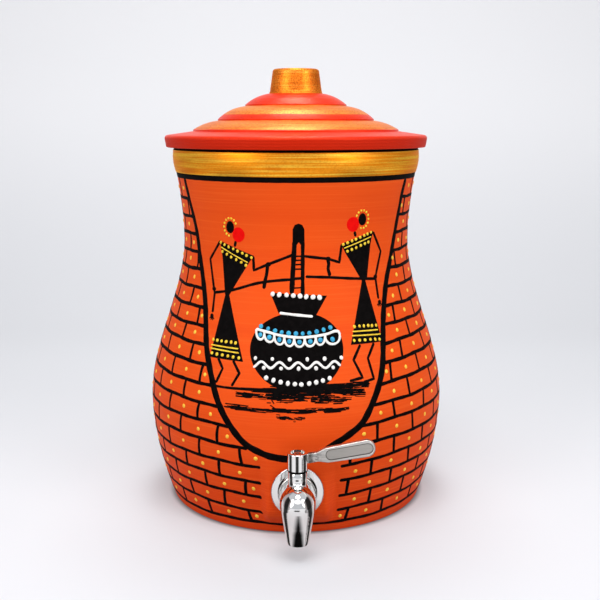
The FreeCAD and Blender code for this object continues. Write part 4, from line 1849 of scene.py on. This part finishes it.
@dataclass
class Churn:
    """The round churn pot between the figures, and the upright stick that stands in it."""

    pot: Pot
    centre: Point = (0.0, 147.0)
    size: Point = (72.0, 58.0)
    neck: Path = ((-20.5, 190), (23, 187.5), (13, 171), (-14, 175))
    neck_row: Pair = ((-18.5, 189), (17.5, 186.5))
    neck_line: Pair = ((-13.3, 175.2), (12, 172.6))
    upper_row: Pair = ((-27.5, 165.2), (25.2, 164))
    lower_row: Pair = ((-23.5, 128.2), (24.8, 127.8))
    crest: Path = (
        (-31.5, 163), (-21.8, 161), (-11.3, 158.8), (3.8, 157.6), (21.3, 159.3), (28.5, 161.3),
    )
    crest_end: Pair = ((32, 160.8), (33, 158))
    last_post: Point = (33.0, 158.5)
    loops: int = 8
    loop_depth: float = 6.8
    loop_steps: int = 12
    wave_start: Point = (-33.7, 137.5)
    wave_steps: int = 68
    wave_depth: float = 2.2
    wave_period: float = 13.9
    line_proud: float = 2.2
    stick_head: Path = (
        (-3.3, 226), (-3.2, 238), (-1.6, 241.2), (1.2, 242.3), (4, 241.2), (5.6, 238),
        (5.8, 227), (3.2, 225.5), (1.4, 228.2), (-0.6, 225.5),
    )
    stick_bars: tuple[tuple[Point, Point, float], ...] = (
        ((-1.7, 229), (-4.1, 189), 3.9), ((4.4, 229), (4.3, 188), 3.1),
        ((-2.4, 217.3), (3.6, 217.5), 1.3), ((-2.4, 214.2), (3.6, 214.4), 1.3),
        ((-2.4, 211), (3.6, 211.2), 1.3), ((-2.4, 207.6), (3.6, 207.8), 1.3),
        ((-3, 200.4), (4, 200.9), 2.3), ((-2.6, 193.5), (3.4, 193.9), 1.2),
    )

    def build(self) -> None:
        """Paint the stick, the churn and the patterns on it."""
        self.paint_stick()
        work = PaintWork("churn_pot", self.pot)
        work.disc(self.centre, *self.size, Ink.BLACK)
        work.fill(self.neck, Ink.BLACK)
        work.drops(*self.neck_row, 8, 3.7, Ink.WHITE)
        work.joined(self.neck_line, 2.0, Ink.WHITE, self.line_proud)
        work.drops(*self.upper_row, 11, 3.3, Ink.BLUE, sag=4.3)
        self.paint_scallops(work)
        self.paint_wave(work)
        work.drops(*self.lower_row, 10, 3.5, Ink.WHITE, sag=4.0)
        work.dry()

    def paint_scallops(self, work: PaintWork) -> None:
        """Paint the white line with its hanging loops, and a blue drop in each loop.

        Args:
            work: The painting.
        """
        work.line([*self.crest, *self.crest_end], 2.0, Ink.WHITE, self.line_proud)
        top = eased(self.crest, 1.0)
        posts = [top[int((len(top) - 1) * index / self.loops)] for index in range(self.loops)]
        for start, end in zip(posts, [*posts[1:], self.last_post]):
            loop = []
            for step in range(self.loop_steps + 1):
                share = step / self.loop_steps
                angle = math.pi * share
                x = 0.5 * (start[0] + end[0]) - 0.5 * (end[0] - start[0]) * math.cos(angle)
                y = start[1] + (end[1] - start[1]) * share
                loop.append((x, y - self.loop_depth * math.sin(angle) ** 0.7))
            work.stroke(loop, 1.8, Ink.WHITE, self.line_proud)
            middle = loop[self.loop_steps // 2]
            work.drop((middle[0], middle[1] + 3.4), 3.6, Ink.BLUE)

    def paint_wave(self, work: PaintWork) -> None:
        """Paint the white wave and the drops above and below it.

        Args:
            work: The painting.
        """
        left, level = self.wave_start
        wave = []
        for step in range(self.wave_steps):
            rise = math.sin(2 * math.pi * (step - 3.0) / self.wave_period)
            wave.append((left + step, level + self.wave_depth * rise))
        work.stroke(wave, 1.9, Ink.WHITE, self.line_proud)
        for index in range(11):
            lift = 4.4 if index % 2 == 0 else -2.2
            work.drop((-32.0 + 6.6 * index, level + lift), 3.0, Ink.WHITE)

    def paint_stick(self) -> None:
        """Paint the churning stick with its rounded head, two posts and rungs."""
        work = PaintWork("churn_stick", self.pot)
        work.fill(self.stick_head, Ink.BLACK)
        for start, end, width in self.stick_bars:
            work.joined((start, end), width)
        work.dry()


@dataclass
class Ground:
    """The ground under the figures, swept on with a nearly dry brush."""

    pot: Pot
    sweeps: tuple[tuple[Point, Point, float, int, float], ...] = (
        ((-66, 118.4), (58, 121.0), 1.2, 46, 0.35),
        ((-34, 119.3), (20, 121.0), 3.0, 40, 0.4),
        ((14, 122.5), (57, 121.5), 3.4, 46, 0.45),
        ((10, 120.0), (54, 115.0), 6.0, 70, 0.4),
        ((-48, 114.5), (10, 114.0), 5.0, 70, 0.3),
        ((-24, 117.5), (26, 116.5), 6.5, 90, 0.4),
        ((10, 112.5), (42, 110.5), 4.0, 40, 0.35),
        ((-58, 104.5), (40, 104.0), 3.2, 90, 0.22),
        ((-16, 99.5), (6, 98.5), 3.0, 34, 0.3),
    )

    def build(self) -> None:
        """Paint each sweep as many thin bristle marks."""
        work = PaintWork("ground_strokes", self.pot)
        for start, end, thick, marks, reach in self.sweeps:
            for _ in range(marks):
                middle = work.hand.betavariate(1.3, 1.3)
                half = 0.5 * reach * work.hand.uniform(0.15, 1.0)
                lift = work.hand.gauss(0, 0.3) * thick
                lean = work.hand.uniform(-0.9, 0.9)
                path = []
                for share in (middle - half, middle, middle + half):
                    share = min(max(share, 0.0), 1.0)
                    x = start[0] + (end[0] - start[0]) * share
                    y = start[1] + (end[1] - start[1]) * share + lift
                    path.append((x, y + lean * (share - middle) + work.hand.uniform(-0.2, 0.2)))
                if math.dist(path[0], path[-1]) > 1.5:
                    work.line(path, work.hand.uniform(0.4, 1.1), proud=work.hand.uniform(0.5, 0.9))
        work.joined(((-19.5, 112.5), (-17.5, 109.5)), 0.9)
        work.joined(((-20.5, 108.5), (-16, 105.5)), 0.9)
        work.dry()


# Tap


@dataclass
class TapCasting:
    """The polished casting: threaded tail, collar, barrel, rounded bend, spout and housing."""

    height: float = 42.0
    flange_front: float = 128.378
    tail_end: float = 95.378
    tail_bore_end: float = 133.578
    tail_radius: float = 8.0
    tail_bore: float = 4.5
    thread_start: float = 113.0
    thread_pitch: float = 1.5
    thread_depth: float = 0.9
    collar_radius: float = 15.0
    collar_length: float = 4.0
    barrel_radius: float = 13.4
    spout_reach: float = 25.0
    spout_tip: float = 12.4
    tip_radius: float = 7.9
    bore_radius: float = 6.5
    bore_depth: float = 16.5
    crotch: float = 3.0
    valve_reach: float = 13.5
    housing_radius: float = 7.0
    housing_top: float = 64.2
    chamber_radius: float = 5.3
    chamber_floor: float = 34.9
    gland_radius: float = 5.95
    gland_floor: float = 56.5
    flare: Path = ((1.9, -1.0), (1.6, 0.0), (0.9, 0.35), (0.35, 1.0), (0.08, 2.0))
    bend_blend: float = 0.06
    bend_steps: int = 30
    steps: int = 72

    def taper(self, height: float) -> float:
        """Spout's radius at a height."""
        share = (height - self.spout_tip) / (self.height - self.spout_tip)
        return self.tip_radius + (self.barrel_radius - self.tip_radius) * share

    def bend_outside(self, angle: float) -> float:
        """Distance from the bend's pivot to its outside.

        Args:
            angle: The direction, in radians from upright.

        Returns:
            The distance in millimetres.
        """
        pivot = self.barrel_radius + self.crotch
        high = pivot + self.barrel_radius
        slope = (self.barrel_radius - self.tip_radius) / (self.height - self.spout_tip)
        if angle < math.atan2(pivot, high):
            return high / math.cos(angle)
        if angle < math.atan2(high, pivot):
            ahead = pivot * (math.sin(angle) + math.cos(angle))
            return ahead + math.sqrt(ahead**2 - 2 * pivot**2 + self.barrel_radius**2)
        return (high - pivot * slope) / (math.sin(angle) - slope * math.cos(angle))

    def ring(self, middle: Vector, up: Vector, tall: float, wide: float) -> list[Vector]:
        """Oval ring round a middle.

        Args:
            middle: Its centre.
            up: The direction of its taller half axis.
            tall: Half its size along up.
            wide: Half its size along X.

        Returns:
            Its points.
        """
        points = []
        for step in range(self.steps):
            angle = 2 * math.pi * step / self.steps
            points.append(
                middle + up * (tall * math.cos(angle)) + Vector((wide * math.sin(angle), 0, 0))
            )
        return points

    def level_rings(self, profile: Sequence[Point]) -> list[list[Vector]]:
        """Rings round the tail's axis.

        Args:
            profile: Radius and distance to the front of each ring.

        Returns:
            The rings.
        """
        up = Vector((0, 0, 1))
        return [
            self.ring(Vector((0, -reach, self.height)), up, radius, radius)
            for radius, reach in profile
        ]

    def tail_profile(self) -> list[Point]:
        """Section of the bore, the thread and the collar.

        Returns:
            Radius and distance to the front of its points, from inside the pot out.
        """
        tail, root = self.tail_radius, self.tail_radius - self.thread_depth
        profile = [(self.tail_bore, self.tail_bore_end), (self.tail_bore, self.tail_end)]
        profile += [(root, self.tail_end), (tail, self.tail_end + 1.0)]
        reach = self.tail_end + 1.6
        while reach + self.thread_pitch < self.thread_start:
            profile += [(tail, reach), (root, reach + 0.5 * self.thread_pitch)]
            reach += self.thread_pitch
            profile.append((tail, reach - 0.1))
        front, collar = self.flange_front, self.collar_radius
        profile += [(tail, front - 0.02), (collar - 0.4, front - 0.02), (collar, front + 0.35)]
        for share in (0.2, 0.4, 0.6, 0.8, 1.0):
            drop = (collar - self.barrel_radius) * math.sin(share * math.pi / 2)
            profile.append((collar - drop, front + 0.35 + self.collar_length * share))
        return profile

    def bend_rings(self) -> list[list[Vector]]:
        """Rings that fan round the bend and run down the spout into its bore.

        Returns:
            The rings, from the barrel to the bore's end.
        """
        pivot_offset = self.barrel_radius + self.crotch
        spout = self.flange_front + self.spout_reach
        pivot = Vector((0, -(spout - pivot_offset), self.height - pivot_offset))
        end_radius = self.taper(pivot.z)
        rings = []
        for step in range(self.bend_steps + 1):
            angle = 0.5 * math.pi * step / self.bend_steps
            shifts = (-self.bend_blend, 0.0, self.bend_blend)
            spans = [min(max(angle + shift, 0.0), 0.5 * math.pi) for shift in shifts]
            outside = sum(self.bend_outside(span) for span in spans) / 3
            share = (1 - math.cos(angle * 2)) / 2
            inside = self.crotch + share * (self.barrel_radius - end_radius)
            out = Vector((0, -math.sin(angle), math.cos(angle)))
            tall = 0.5 * (outside - inside)
            middle = pivot + out * (inside + tall)
            wide = self.taper(min(self.height, middle.z))
            rings.append(self.ring(middle, out, tall, wide))
        out = Vector((0, -1, 0))
        for share in (0.2, 0.4, 0.6, 0.8, 0.93):
            level = pivot.z + (self.spout_tip + 0.9 - pivot.z) * share
            radius = self.taper(level)
            rings.append(self.ring(Vector((0, -spout, level)), out, radius, radius))
        edge, bore = self.tip_radius, self.bore_radius
        lip = [(edge, 0.8), (edge - 0.15, 0.35), (edge - 0.45, 0.1), (edge - 0.8, 0.0)]
        lip += [(bore + 0.4, 0.0), (bore + 0.15, 0.12), (bore, 0.45), (bore, self.bore_depth)]
        lip.append((bore * 0.55, self.bore_depth + 1.5))
        for radius, rise in lip:
            middle = Vector((0, -spout, self.spout_tip + rise))
            rings.append(self.ring(middle, out, radius, radius))
        return rings

    def housing_rings(self) -> list[list[Vector]]:
        """Rings of the valve's housing, flared where it grows out of the barrel.

        Returns:
            The rings, from the barrel up and back down the chamber.
        """
        reach = self.flange_front + self.valve_reach
        rings = []
        for wider, rise in self.flare:
            radius = self.housing_radius + wider
            ring = []
            for step in range(self.steps):
                angle = 2 * math.pi * step / self.steps
                x, y = radius * math.sin(angle), radius * math.cos(angle)
                saddle = math.sqrt(self.barrel_radius**2 - x * x)
                ring.append(Vector((x, y - reach, self.height + saddle + rise)))
            rings.append(ring)
        top, side = self.housing_top, self.housing_radius
        gland, chamber = self.gland_radius, self.chamber_radius
        rest = [(side, top - 5), (side, top - 0.4), (side - 0.4, top)]
        rest += [(gland + 0.05, top), (gland, top - 0.3), (gland, self.gland_floor)]
        rest += [(chamber, self.gland_floor), (chamber, self.chamber_floor)]
        for radius, level in rest:
            middle = Vector((0, -reach, level))
            rings.append(self.ring(middle, Vector((0, 1, 0)), radius, radius))
        return rings

    def build(self) -> bpy.types.Object:
        """Make the casting's piece, which stands for the tap's body.

        Returns:
            The finished piece.
        """
        piece = Workpiece("tap_casting", Body.POT, Slot.TAP_STEEL)
        sweep(piece.mesh, self.level_rings(self.tail_profile()) + self.bend_rings())
        sweep(piece.mesh, self.housing_rings())
        made = piece.finish([Steel("mirror_steel").material()], 50.0)
        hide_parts("tap_body")
        return made


@dataclass
class Hardware:
    """Finishes for the tap's nodes that keep their own meshes."""

    nodes: dict[str, bpy.types.Object]

    def dress(self) -> None:
        """Give each node its finish."""
        turned = Steel(
            "turned_steel", rgb(190, 188, 184), 0.22, 0.1, (300.0, 300.0, 300.0), 0.00002
        )
        finishes: dict[str, Finish] = {
            "tap_flange": Steel("flange_steel"),
            "tap_handle": HandleSteel(),
            "lever_plate": Steel(
                "plate_steel", rgb(176, 171, 164), 0.32, 0.12, (60.0, 900.0, 1400.0), 0.00003
            ),
            "handle_screw": turned,
            "valve_plug": turned,
            "gland_ring": turned,
            "lock_nut": turned,
            "backing_washer": turned,
            "outer_seal": Rubber("clear_silicone", rgb(214, 208, 200), 0.35, 0.3),
            "inner_seal": Rubber("clear_silicone_inside", rgb(214, 208, 200), 0.35, 0.3),
            "handle_seal": Rubber("black_seal", rgb(8, 8, 8), 0.6, 0.0, 0.05),
            "plug_o_rings": Rubber("black_rings", rgb(20, 20, 20), 0.38),
        }
        made: dict[Finish, bpy.types.Material] = {}
        for name, finish in finishes.items():
            if finish not in made:
                made[finish] = finish.material()
            node = self.nodes[name]
            node.data.materials.clear()
            node.data.materials.append(made[finish])
            LOG.info("%s: finished as %s", name, finish.name)


# Studio


@dataclass(frozen=True)
class Lamp:
    """A soft lamp: where it hangs, its width and height in metres, and its power in watts."""

    name: str
    place: Triple
    wide: float
    tall: float
    power: float


@dataclass(frozen=True)
class Flag:
    """A dark flag on the floor round the tap, which only reflections show.

    Its middle and half its width are in degrees, from the front towards the right. Its reach is
    how far from the spout it starts and stops. Tall is how high its far edge is turned up, shade
    how bright it is, and taper the share of its width that it loses over its reach.
    """

    name: str
    middle: float
    half: float
    reach: Point
    tall: float = 0.0
    shade: float = 0.03
    taper: float = 0.0


@dataclass
class Studio:
    """Pale floor and backdrop, soft lamps, and the camera at the photograph's viewpoint."""

    camera_place: Triple = (-0.006, -0.79576, 0.31637)
    camera_pitch: float = 10.716
    camera_yaw: float = 0.68
    lens: float = 56.05
    aim_height: float = 0.17
    lamps: tuple[Lamp, ...] = (
        Lamp("left_lamp", (-1.12, -0.95, 0.8), 0.8, 1.3, 9.2),
        Lamp("right_lamp", (1.12, -0.95, 0.8), 0.8, 1.3, 9.8),
        Lamp("top_lamp", (0.0, -0.5, 1.5), 0.8, 0.6, 8.6),
        Lamp("front_lamp", (0.0, -1.7, 1.6), 2.0, 1.1, 6.9),
        Lamp("back_lamp", (0.0, 0.36, 1.35), 0.5, 0.4, 6.0),
    )
    flags: tuple[Flag, ...] = (
        Flag("spout_flag", 3.0, 56.0, (0.01, 0.058), shade=0.004, taper=0.9),
        Flag("spout_right_flag", 92.0, 22.0, (0.012, 0.088)),
        Flag("spout_left_flag", -96.0, 18.0, (0.012, 0.088)),
        Flag("hub_flag", -6.0, 18.0, (0.125, 0.23)),
        Flag("hub_side_flag", 58.0, 9.0, (0.088, 0.2), shade=0.1),
        Flag("left_flag", -90.0, 20.0, (0.088, 0.21), tall=0.2),
        Flag("right_flag", 88.0, 24.0, (0.088, 0.21), tall=0.2),
    )
    flag_level: float = 0.002
    flag_steps: int = 24
    room_tint: Colour = (0.9, 0.93, 1.0, 1.0)
    room_light: float = 0.27
    mirrored_light: float = 0.75
    paper: Colour = rgb(231, 232, 236)
    high_paper: Colour = rgb(250, 250, 253)
    paper_rise: Point = (0.0, 0.4)
    # Painted shadows on the floor: a dark ring round the foot and a faint spot under the spout.
    contact_shadow: Colour = rgb(82, 92, 96)
    contact_shadow_ring: Point = (0.1065, 0.1135)
    contact_shadow_share: float = 0.8
    spout: Triple = (0.0, -0.1534, 0.0)
    spout_shadow_spot: Point = (0.004, 0.03)
    spout_shadow_share: float = 0.1
    glow: float = 0.3
    bounce: float = 0.5
    floor_front: float = -3.0
    sweep_back: float = 1.3
    sweep_rise: float = 0.7
    sweep_top: float = 3.0
    half_width: float = 4.0

    def build(self) -> None:
        """Set up the whole studio."""
        scene = bpy.context.scene
        scene.view_settings.view_transform = "Standard"
        self.set_camera(scene)
        self.set_world(scene)
        self.lay_floor()
        for lamp in self.lamps:
            self.hang(lamp)
        for flag in self.flags:
            self.stand(flag)

    def stand(self, flag: Flag) -> None:
        """Stand a dark flag round the tap.

        Args:
            flag: The flag.
        """
        near, far = flag.reach
        level = self.flag_level
        line = [(near, level), (far, level)]
        if flag.tall > 0:
            line.append((far + 0.01, level + flag.tall))
        start = math.radians(flag.middle - 1.5 * flag.half)
        along = Vector((math.sin(start), -math.cos(start), 0.0))
        spout = Vector(self.spout)
        mesh = bmesh.new()
        spots = [spout + along * out + Vector((0, 0, up)) for out, up in line]
        verts, edges = wire(mesh, spots)
        bmesh.ops.spin(
            mesh,
            geom=verts + edges,
            cent=spout,
            axis=(0.0, 0.0, 1.0),
            angle=math.radians(3 * flag.half),
            steps=self.flag_steps,
        )
        recipe = Recipe(flag.name)
        east, north, _ = recipe.place()
        ahead = spout.y - north
        off = east.bearing(ahead) * math.degrees(1.0) - flag.middle
        narrowed = 1 - east.hypot(ahead).step(near, far) * flag.taper
        past = (off * off).root() - narrowed * flag.half
        inside = 1 - past.step(-0.4 * flag.half, 0.4 * flag.half)
        dark = (flag.shade, flag.shade, flag.shade, 1.0)
        shown = recipe.mixed(inside, self.paper, dark)
        recipe.set(base_color=shown, roughness=1.0, specular_ior_level=0.0)
        made = add_object(mesh_data(flag.name, mesh))
        made.data.materials.append(recipe.material)
        made.visible_camera = False
        made.visible_diffuse = False
        made.visible_transmission = False
        made.visible_shadow = False

    def set_camera(self, scene: bpy.types.Scene) -> None:
        """Put the camera at the photograph's viewpoint.

        Args:
            scene: The scene that it looks at.
        """
        data = bpy.data.cameras.new("camera")
        data.lens = self.lens
        data.sensor_width = 36.0
        data.clip_start = 0.01
        made = add_object(data)
        made.location = self.camera_place
        pitch, yaw = math.radians(90 - self.camera_pitch), -math.radians(self.camera_yaw)
        made.rotation_euler = (pitch, 0, yaw)
        scene.camera = made

    def set_world(self, scene: bpy.types.Scene) -> None:
        """Soft even light from all round, a pale background and a greyer room for reflections.

        Args:
            scene: The scene that it lights.
        """
        world = bpy.data.worlds.new("studio_world")
        world.use_nodes = True
        tree = world.node_tree
        tree.nodes.clear()

        def add(kind: str, *inputs: Any) -> bpy.types.NodeSocket:
            """Add a shader to the world.

            Args:
                kind: The node's type.
                inputs: Values or links of its sockets, in their order.

            Returns:
                Its output.
            """
            made = tree.nodes.new(kind)
            for socket, value in zip(made.inputs, inputs):
                if isinstance(value, bpy.types.NodeSocket):
                    tree.links.new(value, socket)
                else:
                    socket.default_value = value
            return made.outputs[0]

        rays = tree.nodes.new("ShaderNodeLightPath").outputs
        room = add("ShaderNodeBackground", self.room_tint, self.room_light)
        mirrored = add("ShaderNodeBackground", self.room_tint, self.mirrored_light)
        back = add("ShaderNodeBackground", self.high_paper)
        lit = add("ShaderNodeMixShader", rays["Is Glossy Ray"], room, mirrored)
        seen = add("ShaderNodeMixShader", rays["Is Camera Ray"], lit, back)
        output = tree.nodes.new("ShaderNodeOutputWorld")
        tree.links.new(seen, output.inputs["Surface"])
        scene.world = world

    def lay_floor(self) -> None:
        """Lay the floor, which curves up into the backdrop."""
        foot, bend = (self.floor_front, 0.0, 0.0), (self.sweep_back, 0.0, self.sweep_rise)
        profile = rounded([foot, bend, (self.sweep_back, self.sweep_top, 0.0)], 24)
        mesh = bmesh.new()
        _, edges = wire(mesh, [(-self.half_width, back, up) for back, up in profile])
        made = bmesh.ops.extrude_edge_only(mesh, edges=edges)["geom"]
        for item in made:
            if isinstance(item, bmesh.types.BMVert):
                item.co.x = self.half_width
        for face in mesh.faces:
            face.smooth = True
            face.normal_update()
            if face.normal.z < -0.01 or face.normal.y > 0.01:
                face.normal_flip()
        floor = add_object(mesh_data("floor", mesh))
        floor.data.materials.append(self.floor_paper())

    def floor_paper(self) -> bpy.types.Material:
        """Make the floor's paper, with a painted shadow: a soft dark ring where the foot meets it.

        Returns:
            The new material.
        """
        recipe = Recipe("studio_paper")
        east, north, height = recipe.place()
        paper = recipe.mixed(height.step(*self.paper_rise), self.paper, self.high_paper)
        # Painted shadow: a soft dark ring round the foot, and a faint spot under the spout.
        ring = (1 - east.hypot(north).step(*self.contact_shadow_ring)) * self.contact_shadow_share
        ahead = north - self.spout[1]
        from_spout = (east * east + ahead * ahead * 2.0).root()
        spot = (1 - from_spout.step(*self.spout_shadow_spot)) * self.spout_shadow_share
        paper = recipe.mixed(ring.at_least(spot), paper, self.contact_shadow)
        rays = recipe.node("ShaderNodeLightPath").outputs
        dim = (self.bounce, self.bounce, self.bounce, 1.0)
        shown = recipe.mixed(rays["Is Diffuse Ray"], paper, dim)
        recipe.set(base_color=shown, roughness=0.9, specular_ior_level=0.1)
        glow = recipe.node("ShaderNodeEmission", None, {"Color": paper, "Strength": 1.0})
        parts = {
            0: Signal(recipe, rays["Is Camera Ray"]) * self.glow,
            1: recipe.shader.outputs[0],
            2: glow.outputs[0],
        }
        blend = recipe.node("ShaderNodeMixShader", None, parts)
        output = recipe.tree.nodes["Material Output"]
        recipe.feed(output.inputs["Surface"], blend.outputs[0])
        return recipe.material

    def hang(self, lamp: Lamp) -> None:
        """Hang a soft lamp that faces the pot's middle.

        Args:
            lamp: The lamp.
        """
        data = bpy.data.lights.new(lamp.name, "AREA")
        data.shape = "ELLIPSE"
        data.size = lamp.wide
        data.size_y = lamp.tall
        data.energy = lamp.power
        made = add_object(data)
        made.location = lamp.place
        aim = Vector((0.0, 0.0, self.aim_height)) - Vector(lamp.place)
        made.rotation_euler = aim.to_track_quat("-Z", "Y").to_euler()


def main() -> None:
    """Build the studio, the pot, its painting, the lid and the tap, in that order."""
    logging.basicConfig(level=logging.INFO, format="%(message)s")
    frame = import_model()
    Studio().build()
    pot = Pot()
    pot.build()
    Lid().build()
    border = PanelBorder(pot)
    border.build()
    Brickwork(pot, border).build()
    LEFT_DANCER.build(pot)
    RIGHT_DANCER.build(pot)
    Churn(pot).build()
    Ground(pot).build()
    TapCasting().build()
    Hardware(frame["nodes"]).dress()


if __name__ == "__main__":
    main()
